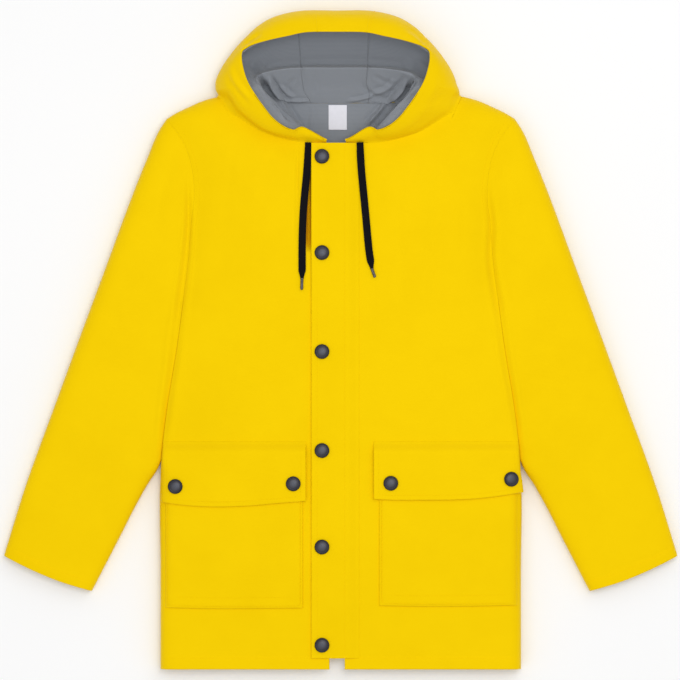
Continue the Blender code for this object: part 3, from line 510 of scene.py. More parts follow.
def along_line(plan, line):
    """For each plan point: its distance to a line and how far along the line that is."""
    flat = plan.reshape(-1, 2)
    near, run = np.empty(len(flat)), np.empty(len(flat))
    for first in range(0, len(flat), BLOCK):
        block = slice(first, first + BLOCK)
        near[block], _, run[block] = nearest_in_block(flat[block], np.zeros(2), line)
    return near.reshape(plan.shape[:-1]), run.reshape(plan.shape[:-1])


def crease_heights(plan, creases):
    """What a table of creases adds to the height of the cloth at each plan point."""
    total = np.zeros(plan.shape[:-1])
    for _, depth, start_width, end_width, points in creases:
        line = smooth(points, 8)
        reach = CREASE_REACH * max(start_width, end_width)
        low, high = line.min(axis=0) - reach, line.max(axis=0) + reach
        close = ((plan > low) & (plan < high)).all(axis=-1)
        if not close.any():
            continue
        near, run = along_line(plan[close][None], line)
        share = run[0] / lengths(line)[-1]
        width = start_width + (end_width - start_width) * share
        fade = ease(share / CREASE_FADE) * ease((1 - share) / CREASE_FADE)
        past = near[0] / width
        shape = bump(past) - SWELL * bump((past - SWELL_AT) / SWELL_HALF)
        total[close] += depth * fade * shape
    return total


def puckers(run, near):
    """Small uneven gathers along a stitched line: run is the way along it, near the distance from it."""
    waves = np.sin(run * 0.83 + 0.6 * np.sin(run * 0.21)) + 0.6 * np.sin(run * 0.47 + 1.3)
    return PUCKER * waves * bump(near / PUCKER_REACH)


def stitch_dip(near):
    """How far stitching at this distance draws the cloth in."""
    return STITCH_DIP * bump(near / STITCH_DIP_HALF)


def turned_up(near):
    """A hem: two layers up to the stitching, which draws the cloth in a little."""
    return HEM_STEP * (1 - ease((near - HEM_BAND) / HEM_STEP_REACH)) - stitch_dip(near - HEM_BAND)


def sway(plan, size, strength, turn):
    """Broad uneven waves that no laid cloth is without: three sets of them across each other."""
    total = np.zeros(plan.shape[:-1])
    for step, (angle, length, shift) in enumerate(SWAY_WAVES):
        way = np.array([math.cos(angle + turn), math.sin(angle + turn)])
        total += np.sin(plan @ way * (2 * math.pi / (size * length)) + shift + turn * (step + 1))
    return strength * total / len(SWAY_WAVES)


# ---- faces of the laid cloth -----------------------------------------------------------------

def fold_power(half):
    """How square the rolled folds are: fullest where the sleeves lie against the body."""
    x, y = half[..., 0], half[..., 1]
    beside_body = between(y, CONTACT_Y) * between(x, CONTACT_X)
    at_neck = bump(np.hypot(x - NECK[0, 0], y - NECK[0, 1]) / NECK_ROUND)
    fuller = (CONTACT_POWER - FOLD_POWER) * beside_body
    return FOLD_POWER + fuller - (FOLD_POWER - ROUND_POWER) * at_neck


def face_frame(plan, folds, middle, half_depth, relief, up, crease):
    """Points of a laid panel's outer face in millimetres, and its outward normals."""
    sides = np.where(plan[..., :1] < 0, -1.0, 1.0)
    half = half_plane(plan)
    near, out = nearest(half, folds, middle)
    power = fold_power(half)
    past = 1 - np.clip(near / FOLD_REACH, 0, 1)
    share = (1 - past**power) ** (1 / power)
    outward = out * (past ** (power - 1) * half_depth)[..., None]
    normal = np.concatenate([outward, (share ** (power - 1) * FOLD_REACH * up)[..., None]], axis=-1)
    normal /= np.linalg.norm(normal, axis=-1, keepdims=True)
    height = half_depth * (1 + up * share) + relief * share
    points = np.concatenate([half, (height + up * crease * share)[..., None]], axis=-1)
    for grid in (points, normal):
        grid[..., :1] *= sides
    return points, normal


def moved(face, offset):
    """A face's points moved out along its normals."""
    points, normal = face
    return points + normal * np.broadcast_to(offset, points.shape[:-1])[..., None]


def laid_over(face, offset, spread=0.0):
    """A face's points moved up as cloth lies over the rolled sides. spread is how far out it goes."""
    points, normal = face
    way = normal.copy()
    way[..., 0] *= spread
    return points + way * np.broadcast_to(offset, points.shape[:-1])[..., None]


def body_relief(plan):
    """What the fronts' height adds to the rolled form: the crown, the hem's sag and the drawn seams."""
    half = half_plane(plan)
    inside = distance(half, (SIDE, SHOULDER_LINE, ARM, NECK))
    crown = CROWN * ease(inside / CROWN_REACH)
    sag = HEM_SAG * bump((plan[..., 1] - HEM_Y) / HEM_SAG_REACH) * ease(inside / CROWN_REACH)
    from_centre = ease((half[..., 0] - NECK_DIP_FROM_X) / (NECK_DIP_FULL_X - NECK_DIP_FROM_X))
    at_neck = bump(distance(half, (NECK,)) / SEAM_DIP_REACH)
    at_neck *= NECK_DIP_LEAST + (1 - NECK_DIP_LEAST) * from_centre
    drawn = bump(distance(half, (ARM,)) / SEAM_DIP_REACH) + at_neck
    return crown - sag - SEAM_DIP * drawn


def top_crease(plan):
    """The creases, waves and armhole grooves that the fronts and the sleeves' top sides share."""
    seam = bump(distance(half_plane(plan), (ARM,)) / ARM_GROOVE_HALF)
    waves = sway(plan, size=120, strength=0.4, turn=0.2)
    return crease_heights(plan, TOP_CREASES) + waves - ARM_GROOVE * seam


def gape(plan):
    """Where the right front drops away under the placket's free edge, beside the drawcord."""
    return -GAPE_DEPTH * between(plan[..., 1], GAPE_Y) * bump((plan[..., 0] - GAPE_X) / GAPE_HALF)


def front_face(plan):
    """The fronts' outer face, with its creases and its turned up hem."""
    near = plan[..., 1] - HEM_Y
    crease = top_crease(plan) + turned_up(near) + puckers(plan[..., 0], near - HEM_BAND)
    return face_frame(plan, BODY_FOLDS, BODY_MIDDLE, BODY_HALF_DEPTH, body_relief(plan), 1, crease)


def back_face(plan):
    """The back's outer face, which rests on the floor. Its creases only rise from it, so they go inwards."""
    from_arm = distance(half_plane(plan), (ARM,))
    dip = stitch_dip(plan[..., 1] - BACK_HEM_Y - HEM_BAND) + stitch_dip(from_arm - ARM_STITCH)
    crease = np.minimum(-crease_heights(plan, BACK_CREASES) - dip, 0)
    return face_frame(plan, BODY_FOLDS, BODY_MIDDLE, BODY_HALF_DEPTH, 0.0, -1, crease)


def sleeve_face(plan, up, side):
    """A sleeve's outer face, top or underside. The plan is the +X sleeve's, with rows across it."""
    down = ease((UNDERARM_Y - plan[..., 1]) / (UNDERARM_Y - CUFF_Y))
    half_depth = BODY_HALF_DEPTH + (CUFF_HALF_DEPTH - BODY_HALF_DEPTH) * down
    drawn = -SEAM_DIP * bump(distance(plan, (ARM,)) / SEAM_DIP_REACH) * (up > 0)
    middle = plan.mean(axis=1, keepdims=True)
    near, run = along_line(plan, CUFF_LINE)
    near = near + HEM_BAND - CUFF_BAND
    if up > 0:
        real = plan * np.array([dict(SIDES)[side], 1])
        crease = top_crease(real) + turned_up(near) + puckers(run, near - HEM_BAND)
    else:
        crease = -stitch_dip(near - HEM_BAND)
    return face_frame(plan, SLEEVE_FOLDS, middle, half_depth, drawn, up, crease)


def lifted(face, offset):
    """A front's points moved out by offset, kept clear of the back."""
    points = moved(face, offset)
    points[..., 2] = np.maximum(points[..., 2], BODY_HALF_DEPTH + SEWN_HALF)
    return points


def lowered(face, offset):
    """The back's points moved out by offset, kept clear of the fronts and off the floor."""
    points = moved(face, offset)
    points[..., 2] = np.clip(points[..., 2], 0, BODY_HALF_DEPTH - SEWN_HALF)
    return points


def height_at(x, y):
    """Height of the fronts' outer face at one place, in millimetres."""
    return lifted(front_face(np.array([[float(x), float(y)]])), 0.0)[0, 2]


# ---- meshes ----------------------------------------------------------------------------------

def quads(rows, columns, start, closed):
    """The faces of a grid of points. A closed one joins its last column to its first."""
    index = np.arange(rows * columns).reshape(rows, columns) + start
    if closed:
        index = np.concatenate([index, index[:, :1]], axis=1)
    corners = index[:-1, :-1], index[:-1, 1:], index[1:, 1:], index[1:, :-1]
    return np.stack(corners, axis=-1).reshape(-1, 4)


def border(rows, columns):
    """The indices round an open grid's border."""
    index = np.arange(rows * columns).reshape(rows, columns)
    return np.concatenate([index[0], index[1:, -1], index[-1, -2::-1], index[-2:0:-1, 0]])


def add_mesh(name, points, faces, materials, slots=None, cloth=None):
    """A mesh object from points in millimetres. cloth gives each point's place on the flat cloth."""
    mesh = bpy.data.meshes.new(name)
    mesh.from_pydata((np.asarray(points) * MM).tolist(), [], [list(face) for face in faces])
    for material in materials:
        mesh.materials.append(material)
    if slots is not None:
        mesh.polygons.foreach_set("material_index", np.asarray(slots, np.int32))
    if cloth is not None:
        mesh.attributes.new("cloth", "FLOAT_VECTOR", "POINT").data.foreach_set(
            "vector", (np.asarray(cloth) * MM).ravel()
        )
    bm = bmesh.new()
    bm.from_mesh(mesh)
    bmesh.ops.recalc_face_normals(bm, faces=bm.faces)
    bm.to_mesh(mesh)
    bm.free()
    mesh.polygons.foreach_set("use_smooth", [True] * len(mesh.polygons))
    obj = bpy.data.objects.new(name, mesh)
    bpy.context.scene.collection.objects.link(obj)
    return obj


def cloth_places(points):
    """A grid's places on the flat cloth: the lengths along its columns and along its rows."""
    across = np.linalg.norm(np.diff(points, axis=1), axis=-1)
    along = np.linalg.norm(np.diff(points, axis=0), axis=-1)
    u = np.concatenate([np.zeros((len(points), 1)), np.cumsum(across, axis=1)], axis=1)
    u -= u[:, u.shape[1] // 2, None]
    v = np.concatenate([np.zeros((1, points.shape[1])), np.cumsum(along, axis=0)])
    return np.stack([u, v, np.zeros_like(u)], axis=-1)


# The rounded edge of a cloth wall, in shares of its thickness: how deep, and how far out. A sewn edge
# is rounded by only a part of that, so that it leaves a fine groove.
EDGE_PROFILE = [(0.12, 0.16), (0.32, 0.28), (0.5, 0.32), (0.68, 0.28), (0.88, 0.16)]
EDGE_REACH = 0.32
SEWN_ROUNDING = 0.05
SHADED_APART = 0.9  # an edge that is sewn at least this much is shaded apart from its wall's faces


def crease_sewn_edges(mesh, joined):
    """Shades a wall's faces apart from its sewn edges. joined is 1 or 2 on the points of either border."""
    ends = np.empty(2 * len(mesh.edges), np.int32)
    mesh.edges.foreach_get("vertices", ends)
    first, second = joined[ends.reshape(-1, 2)].T
    sharp = (first == second) & (first > 0)
    mesh.attributes.new("sharp_edge", "BOOLEAN", "EDGE").data.foreach_set("value", sharp)


def settle(obj, slot, *nodes):
    """Rides a piece on the coat and lets it stand for its nodes if it has any. Its slot is not used."""
    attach(obj, "root")
    if nodes:
        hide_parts(*nodes)


def cloth_piece(
    name, outer, inner, materials, slot, rests_on, closed=False, sewn=None, facing=None, nodes=(),
):
    """A wall of cloth between two grids, with rounded edges. materials: outside, then inside.

    A closed one is a tube that is open at both ends. sewn gives each grid point 1 where its edge is sewn
    to another piece's, and facing is true where the inside shows the outside's cloth, as in a hem. It
    stands for the nodes, or for the one of its own name.
    """
    rows, columns = outer.shape[:2]
    size = rows * columns
    outside, inside = outer.reshape(-1, 3).copy(), inner.reshape(-1, 3).copy()
    flat = cloth_places(outer).reshape(-1, 3)
    rounding = np.ones(size) if sewn is None else 1 - (1 - SEWN_ROUNDING) * sewn.ravel()
    if closed:
        loops = [np.arange(columns), np.arange(columns) + (rows - 1) * columns]
        inwards = [np.arange(columns) + columns, np.arange(columns) + (rows - 2) * columns]
    else:
        loops = [border(rows, columns)]
        row, column = np.divmod(loops[0], columns)
        inwards = [np.clip(row, 1, rows - 2) * columns + np.clip(column, 1, columns - 2)]
    joined = np.zeros(2 * size + len(EDGE_PROFILE) * sum(map(len, loops)), int)
    if sewn is not None:
        for loop in loops:
            held = loop[sewn.ravel()[loop] > SHADED_APART]
            joined[held], joined[held + size] = 1, 2
    points, cloth = [outside, inside], [flat, flat]
    faces = [quads(rows, columns, 0, closed), quads(rows, columns, size, closed)]
    inner_slots = np.ones(len(faces[1]))
    if facing is not None:
        inner_slots[facing.ravel()[faces[1][:, 0] - size]] = 0
    slots = [np.zeros(len(faces[0])), inner_slots]
    start = 2 * size
    for loop, inward in zip(loops, inwards):
        out = outside[loop] - outside[inward]
        out /= np.linalg.norm(out, axis=1, keepdims=True)
        thickness = np.linalg.norm(outside[loop] - inside[loop], axis=1, keepdims=True)
        out *= thickness * rounding[loop, None]
        for face in (outside, inside):
            face[loop] -= out * EDGE_REACH
        rings = [loop]
        for depth, reach in EDGE_PROFILE:
            points.append(outside[loop] * (1 - depth) + inside[loop] * depth + out * reach)
            cloth.append(flat[loop])
            rings.append(np.arange(start, start + len(loop)))
            start += len(loop)
        rings.append(loop + size)
        for first, second in zip(rings, rings[1:]):
            next_first, next_second = np.roll(first, -1), np.roll(second, -1)
            faces.append(np.stack([first, next_first, next_second, second], axis=-1))
            slots.append(np.zeros(len(loop)))
    obj = add_mesh(
        name + "_cloth", np.concatenate(points), np.concatenate(faces), materials,
        np.concatenate(slots), np.concatenate(cloth),
    )
    crease_sewn_edges(obj.data, joined)
    settle(obj, slot, *(nodes or [name]))


# ---- grids -----------------------------------------------------------------------------------

PITCH = 2.2  # between the columns of the fronts' and the sleeves' top sides, and of the pockets
ROW_PITCH = 3.0  # between the rows of the fronts and sleeves
UNDER_PITCH = 5.0  # between the columns of the back's and the sleeves' undersides
BACK_PITCH = 4.0  # between the back's rows
PLACKET_PITCHES = (1.6, 2.6)
FLAP_PITCH = 1.6
FOLD_FINE = 0.09  # the grids' first step beside a fold
EDGE_FINE = 1.3  # and beside a cut edge
NECK_FINE = 0.9  # and beside the neck lining's and the label's edges
FINE_GROWTH = 1.5  # from each of the first steps to the next
MARK_STEPS = np.arange(-4, 5) * 0.7
MARK_ROOM = 0.3  # from these steps to the nearest other one


def graded(length, pitch, start, end, marks=()):
    """Shares of a length at which a grid is drawn: pitch apart, finer at its ends and at the marks."""
    runs = []
    for fine in (start, end):
        steps = []
        while fine < pitch:
            steps.append(fine)
            fine *= FINE_GROWTH
        runs.append(steps)
    middle = length - sum(runs[0]) - sum(runs[1])
    number = max(1, round(middle / pitch))
    places = np.cumsum([0, *runs[0], *[middle / number] * number, *runs[1][::-1]])
    for mark in marks:
        at_end = (places < 0.01) | (places > length - 0.01)
        kept = (np.abs(places - mark) > MARK_STEPS[-1] + MARK_ROOM) | at_end
        places = np.sort(np.concatenate([places[kept], mark + MARK_STEPS]))
    return places / places[-1]


def strip_plan(left, right, bottom, top, pitches, fine):
    """A rectangle's plan grid. pitches are between its columns and between its rows."""
    x = left + (right - left) * graded(right - left, pitches[0], fine, fine)
    y = bottom + (top - bottom) * graded(top - bottom, pitches[1], fine, fine)
    return np.stack(np.meshgrid(x, y), axis=-1)


def edged_plan(bottom, top, width, height, pitch, inset=0.0):
    """A plan grid between a curved bottom edge and a straight top one, whose end is drawn in by inset."""
    across, along = (graded(size, pitch, EDGE_FINE, EDGE_FINE) for size in (width, height))
    low = at_lengths(smooth(bottom), across)
    high_width = low[-1, 0] - inset - low[0, 0]
    high = np.stack([low[0, 0] + high_width * across, np.full(len(across), top)], axis=-1)
    v = along[:, None, None]
    return low[None] * (1 - v) + high[None] * v


# ---- stitches --------------------------------------------------------------------------------

STITCH_PITCH = 3.1
STITCH_LENGTH = 2.45
STITCH_START = 0.1  # of its own pitch
SEAM_STEP = 4.0  # between the points at which a seam follows the cloth
THREAD_RADIUS = 0.17
THREAD_TAPER = 0.9
THREAD_RISE = 0.25  # at a stitch's middle, in the thread's radii
THREAD_DIVE = 1.5  # and down at its ends
STITCH_RINGS = 5
STITCH_AROUND = 6
STITCH_CAP = ([0, 1, 2, 3], [0, 3, 4, 5])


def stitched(name, rows, materials):
    """One mesh of the thread of several seams: each row is points on the cloth and the cloth's normals."""
    starts, ends, ups = [], [], []
    for points, normals in rows:
        run = lengths(points)
        count = int(run[-1] / STITCH_PITCH)
        if count < 1:
            continue
        first = (np.arange(count) + STITCH_START) * run[-1] / count
        for places, kept in ((first, starts), (first + STITCH_LENGTH, ends)):
            kept.append(np.stack([np.interp(places, run, line) for line in points.T], axis=1))
        ups.append(np.stack([np.interp(first, run, line) for line in normals.T], axis=1))
    start, end, up = (np.concatenate(parts) for parts in (starts, ends, ups))
    along = end - start
    side = np.cross(along, up)
    side /= np.linalg.norm(side, axis=1, keepdims=True)
    share = np.linspace(-1, 1, STITCH_RINGS)
    girth = THREAD_RADIUS * np.sqrt(1 - THREAD_TAPER * share**6)
    dive = THREAD_RADIUS * (THREAD_RISE - THREAD_DIVE * share**4)
    turn = np.linspace(0, 2 * math.pi, STITCH_AROUND, endpoint=False)
    middle = start[:, None] + along[:, None] * ((share + 1) / 2)[:, None] + up[:, None] * dive[:, None]
    ring = (
        side[:, None, None] * (girth[:, None] * np.cos(turn))[..., None]
        + up[:, None, None] * (girth[:, None] * np.sin(turn))[..., None]
    )
    points = (middle[:, :, None] + ring).reshape(len(start), -1, 3)
    unit = quads(STITCH_RINGS, STITCH_AROUND, 0, True)
    last = (STITCH_RINGS - 1) * STITCH_AROUND
    caps = [*STITCH_CAP, *([last + corner for corner in reversed(cap)] for cap in STITCH_CAP)]
    unit = np.concatenate([unit, np.array(caps)])
    faces = unit[None] + (np.arange(len(start)) * points.shape[1])[:, None, None]
    obj = add_mesh(name + "_stitching", points.reshape(-1, 3), faces.reshape(-1, 4), [materials["thread"]])
    settle(obj, "yellow")


def on_face(face_of, line, offset=0.0):
    """A seam's points and normals where a plan line lies on a face."""
    line = np.asarray(line, float)
    plan = at_lengths(line, np.linspace(0, 1, max(4, round(lengths(line)[-1] / SEAM_STEP))))
    face = face_of(plan[None])
    return moved(face, offset)[0], face[1][0]


def beside(line, away):
    """A plan line moved sideways: to its right for a positive distance."""
    run = np.gradient(line, axis=0)
    run /= np.linalg.norm(run, axis=1, keepdims=True)
    return line + np.stack([run[:, 1], -run[:, 0]], axis=1) * away


# ---- materials -------------------------------------------------------------------------------

class Nodes:
    """A short way to wire a node-based material. Its sizes are in metres."""

    def __init__(self, name):
        self.material = bpy.data.materials.new(name)
        self.material.use_nodes = True
        self.tree = self.material.node_tree

    def set(self, socket, value):
        """Links an input to another node's output, or gives it a constant."""
        if isinstance(value, bpy.types.NodeSocket):
            self.tree.links.new(value, socket)
        else:
            socket.default_value = value

    def fill(self, node, inputs):
        for key, value in inputs.items():
            self.set(node.inputs[key.replace("_", " ")], value)

    def add(self, kind, settings=(), **inputs):
        """A new node, with its settings and its inputs by their names."""
        node = self.tree.nodes.new("ShaderNode" + kind)
        for key, value in dict(settings).items():
            setattr(node, key, value)
        self.fill(node, inputs)
        return node

    def finish(self, **inputs):
        """Gives the material, with these inputs of its shader."""
        self.fill(self.tree.nodes["Principled BSDF"], inputs)
        return self.material

    def math(self, operation, first, second=0.0, third=0.0):
        node = self.add("Math", {"operation": operation})
        for socket, value in zip(node.inputs, (first, second, third)):
            self.set(socket, value)
        return node.outputs[0]

    def wave(self, value, times=1.0):
        """A sine wave that comes this many times in each unit."""
        return self.math("SINE", self.math("MULTIPLY", value, 2 * math.pi * times))

    def scaled(self, place, unit):
        scale = self.add("VectorMath", {"operation": "SCALE"}, Scale=1 / unit)
        self.set(scale.inputs[0], place)
        return scale.outputs[0]

    def place(self, unit):
        """The place on the flat cloth, in units of this many metres."""
        return self.scaled(self.add("Attribute", {"attribute_name": "cloth"}).outputs["Vector"], unit)

    def spot(self, unit):
        """The place on the object, in units of this many metres."""
        return self.scaled(self.add("TexCoord").outputs["Object"], unit)

    def noise(self, vector, detail, roughness=0.55):
        node = self.add("TexNoise", Vector=vector, Scale=1.0, Detail=detail, Roughness=roughness)
        return node.outputs["Fac"]

    def remap(self, value, low, high):
        """A 0 to 1 value spread from low to high."""
        return self.math("MULTIPLY_ADD", value, high - low, low)

    def colours(self, factor, *stops):
        """A colour ramp of (position, colour) stops."""
        ramp = self.add("ValToRGB", Fac=factor)
        elements = ramp.color_ramp.elements
        while len(elements) < len(stops):
            elements.new(0.5)
        for element, (position, colour) in zip(elements, stops):
            element.position = position
            element.color = (*colour, 1)
        return ramp.outputs["Color"]

    def bump(self, height, distance, strength, **under):
        node = self.add("Bump", Height=height, Distance=distance, Strength=strength, **under)
        return node.outputs["Normal"]


YELLOW_DARK = (0.875, 0.578, 0.0012)
YELLOW = (0.9, 0.6, 0.0015)
YELLOW_TINT = (1.0, 0.78, 0.01, 1)


def coated_cloth():
    """Coated cotton: a fine plain weave under a satin coat, slightly mottled."""
    n = Nodes("coated_cloth")
    mottle = n.noise(n.spot(0.05), 4)
    x, y, _ = n.add("SeparateXYZ", Vector=n.spot(0.0009)).outputs
    weave = n.math("MULTIPLY", n.wave(x), n.wave(y))
    grain = n.noise(n.spot(0.0022), 5, 0.6)
    pebble = n.bump(n.math("MULTIPLY_ADD", weave, 0.18, grain), distance=0.00006, strength=0.7)
    ripple = n.bump(n.noise(n.spot(0.016), 2), distance=0.0006, strength=0.5, Normal=pebble)
    return n.finish(
        Base_Color=n.colours(mottle, (0.3, YELLOW_DARK), (0.62, YELLOW)),
        Roughness=n.remap(grain, 0.42, 0.58), Normal=ripple,
        Specular_Tint=YELLOW_TINT, Specular_IOR_Level=0.4,
    )


def sewing_thread():
    """Twisted thread in the cloth's own yellow."""
    n = Nodes("sewing_thread")
    twist = n.noise(n.spot(0.0004), 3)
    return n.finish(
        Base_Color=n.colours(twist, (0.3, YELLOW_DARK), (0.7, YELLOW)),
        Roughness=n.remap(twist, 0.5, 0.7), Normal=n.bump(twist, 0.00005, 0.5),
        Specular_Tint=YELLOW_TINT, Specular_IOR_Level=0.3,
    )


def jersey():
    """Fine grey jersey with narrow stripes across and knitted wales along."""
    n = Nodes("jersey")
    x, y, _ = n.add("SeparateXYZ", Vector=n.place(0.0013)).outputs
    wobble = n.noise(n.place(0.012), 2)
    stripe = n.wave(n.math("MULTIPLY_ADD", wobble, 0.5, x))
    wale, course = n.wave(y, 1.6), n.wave(x, 2.0)
    share = n.math("MULTIPLY_ADD", stripe, 0.5, 0.5)
    speckle = n.noise(n.place(0.0016), 4)
    knit = n.math("MULTIPLY_ADD", wale, 0.5, n.math("MULTIPLY", course, 0.35))
    return n.finish(
        Base_Color=n.colours(share, (0.25, (0.232, 0.25, 0.278)), (0.75, (0.276, 0.294, 0.325))),
        Roughness=n.remap(speckle, 0.82, 0.95), Normal=n.bump(n.math("ADD", knit, speckle), 0.00012, 0.7),
        Sheen_Weight=0.25, Sheen_Roughness=0.5, Specular_IOR_Level=0.25,
    )


def label_cloth():
    """Blank white satin ribbon."""
    n = Nodes("label_cloth")
    x, y, _ = n.add("SeparateXYZ", Vector=n.spot(0.0005)).outputs
    weave = n.math("MULTIPLY", n.wave(x), n.wave(y, 2))
    tone = n.noise(n.spot(0.004), 3)
    return n.finish(
        Base_Color=n.colours(tone, (0.3, (0.81, 0.81, 0.88)), (0.7, (0.84, 0.84, 0.91))),
        Roughness=n.remap(weave, 0.5, 0.6), Normal=n.bump(weave, 0.00005, 0.6),
    )


def cap_metal():
    """Dark lacquered snap caps with faint brushing; their colour is painted lighter at the dome's middle as
    a highlight and darker at the rim as shade.
    """
    n = Nodes("cap_metal")
    brushed = n.noise(n.spot(0.0012), 5, 0.65)
    radius = n.add("VectorMath", {"operation": "LENGTH"})
    n.set(radius.inputs[0], n.place(0.0075))
    painted_highlight_radius = n.math("MULTIPLY_ADD", n.math("SUBTRACT", brushed, 0.5), 0.12, radius.outputs["Value"])
    return n.finish(
        # Painted light: by the distance from the cap's middle, the colour is lighter in the middle for a
        # highlight and darker towards the rim for shade.
        Base_Color=n.colours(
            painted_highlight_radius,
            (0.1, (0.052, 0.057, 0.075)), (0.5, (0.052, 0.051, 0.063)),
            (0.78, (0.022, 0.021, 0.03)), (1, (0.014, 0.012, 0.014)),
        ),
        Metallic=0.6, Roughness=n.remap(brushed, 0.4, 0.52), Normal=n.bump(brushed, 0.00003, 0.4),
        Coat_Weight=0.1, Coat_Roughness=0.3,
    )


def cord_weave():
    """Flat black braid: fine chevrons that meet along its middle."""
    n = Nodes("cord_weave")
    x, y, _ = n.add("SeparateXYZ", Vector=n.place(0.0013)).outputs
    chevron = n.wave(n.math("ADD", y, n.math("ABSOLUTE", x)))
    fuzz = n.noise(n.place(0.0006), 4)
    tone = n.math("MULTIPLY_ADD", chevron, 0.3, n.math("MULTIPLY", fuzz, 0.7))
    height = n.math("MULTIPLY_ADD", chevron, 0.6, fuzz)
    return n.finish(
        Base_Color=n.colours(tone, (0.2, (0.0025, 0.0022, 0.0035)), (0.8, (0.009, 0.008, 0.012))),
        Roughness=n.remap(fuzz, 0.75, 0.95), Normal=n.bump(height, 0.0002, 0.8),
        Specular_IOR_Level=0.12,
    )


def tip_plastic():
    """The cord's ends, bound in dark clear plastic."""
    n = Nodes("tip_plastic")
    bands = n.noise(n.spot(0.0015), 3)
    return n.finish(
        Base_Color=n.colours(bands, (0.3, (0.024, 0.018, 0.017)), (0.8, (0.11, 0.09, 0.085))),
        Roughness=n.remap(bands, 0.25, 0.45), Coat_Weight=0.5,
    )


def floor_paint():
    """A matt pale floor."""
    n = Nodes("floor_paint")
    tone = n.noise(n.spot(0.4), 2)
    return n.finish(
        Base_Color=n.colours(tone, (0.2, (0.955, 0.955, 0.955)), (0.8, (0.97, 0.97, 0.97))),
        Roughness=0.9, Specular_IOR_Level=0.1,
    )


def make_materials():
    return {
        "yellow": coated_cloth(), "thread": sewing_thread(), "lining": jersey(), "label": label_cloth(),
        "snap": cap_metal(), "cord": cord_weave(), "tip": tip_plastic(), "floor": floor_paint(),
    }


# ---- camera and drawcords --------------------------------------------------------------------

def make_camera():
    data = bpy.data.cameras.new("camera")
    data.lens = CAMERA_LENS
    data.sensor_width = CAMERA_SENSOR
    data.clip_end = CAMERA_FAR
    camera = bpy.data.objects.new("camera", data)
    height = CAMERA_HEIGHT_OF_SCALE + VIEW_WIDTH * CAMERA_LENS / CAMERA_SENSOR
    camera.location = (CAMERA_X * MM, 0, height * MM)
    bpy.context.scene.collection.objects.link(camera)
    bpy.context.scene.camera = camera


def cord_lift(x):
    """How far a cord's underside stands off the fronts' face: it rides on the placket's thin side."""
    past_placket = x - CORD_WIDTH / 2 - PLACKET_RIGHT
    clear = ease((past_placket + CORD_RIDES_TO) / CORD_RIDE_FADE) if x > 0 else 1.0
    return ON_FRONT + CORD_CLEARANCE + CORD_OVER_PLACKET * (1 - clear)


def cord_centres(name, count):
    """Middle points of a drawcord in millimetres, from its slot to its tip."""
    plan = at_lengths(smooth(CORD_ROUTES[name]), np.linspace(0, 1, count))
    heights = [height_at(x, y) + cord_lift(x) + CORD_THICKNESS / 2 for x, y in plan]
    return np.concatenate([plan, np.array(heights)[:, None]], axis=1)


def tube(name, centres, widths, heights, material, around, square=2.0):
    """A closed tube round middle points, this wide and high at each. square above 2 flattens it."""
    along = np.gradient(centres, axis=0)
    along /= np.linalg.norm(along, axis=1, keepdims=True)
    across = np.cross(along, np.array([0.0, 0, 1]))
    across /= np.linalg.norm(across, axis=1, keepdims=True)
    over = np.cross(across, along)
    turn = np.linspace(0, 2 * math.pi, around, endpoint=False)
    power = 2 / square
    sides = np.sign(np.cos(turn)) * np.abs(np.cos(turn)) ** power
    rise = np.sign(np.sin(turn)) * np.abs(np.sin(turn)) ** power
    ring = (
        across[:, None] * (sides[None] * widths[:, None] / 2)[..., None]
        + over[:, None] * (rise[None] * heights[:, None] / 2)[..., None]
    )
    points = centres[:, None] + ring
    faces = quads(len(centres), around, 0, True).tolist()
    faces.append(list(range(around)))
    faces.append([len(centres) * around - 1 - i for i in range(around)])
    run = lengths(centres)
    place = np.stack(
        [sides[None] * widths[:, None] / 2, np.repeat(run[:, None], around, 1), np.zeros(ring.shape[:2])],
        axis=-1,
    )
    return add_mesh(name, points.reshape(-1, 3), faces, [material], cloth=place.reshape(-1, 3))


def make_cords(materials):
    for name, tip_end in TIP_ENDS.items():
        centres = cord_centres(name, CORD_STEPS)
        to_tip = np.linalg.norm(centres - centres[-1], axis=1)
        narrow = 1 - CORD_NARROWS * (1 - ease(to_tip / CORD_TAPER))
        start = 1 - CORD_SOFT_START + CORD_SOFT_START * ease(lengths(centres) / CORD_START_REACH)
        cord = tube(
            "drawcord_" + name + "_braid", centres, CORD_WIDTH * narrow * start,
            CORD_THICKNESS * (1 - CORD_THINS + CORD_THINS * narrow),
            materials["cord"], CORD_AROUND, CORD_SQUARE,
        )
        settle(cord, "cord", "drawcord_" + name)
        ends = [
            np.array([x, y, height_at(x, y) + SEAM_GAP + TIP_RADIUS]) for x, y in (centres[-1, :2], tip_end)
        ]
        ends[0][2] = centres[-1, 2]
        ends[0] += (ends[0] - ends[1]) * TIP_INSIDE
        share = np.linspace(0, 1, TIP_STEPS)
        line = at_lengths(np.array(ends), share)
        binding = 1 + TIP_BINDING * np.sin(share * TIP_BINDING_TURNS)
        point = 1 - TIP_POINT * ease((share - TIP_POINT_FROM) / TIP_POINT_FADE)
        girth = 2 * TIP_RADIUS * binding * point
        tip = tube(
            "cord_tip_" + name + "_binding", line, girth, girth * TIP_FLAT, materials["tip"], TIP_AROUND,
        )
        settle(tip, "tip", "cord_tip_" + name)


# ---- body and sleeves ------------------------------------------------------------------------

SEAM_PULL_REACH = 6.0
PLACKET_MARKS = (138, 143.4, 148.8, 154.2)  # the fronts' grids are finer here, counted from the side
TURNED_MORE = 8  # the fronts' hem is turned up this far past its stitching
CUFF_TURNED_ROWS = 10  # of the sleeve's grid
BODY_EDGE = np.concatenate([SIDE, ARM[1:]])


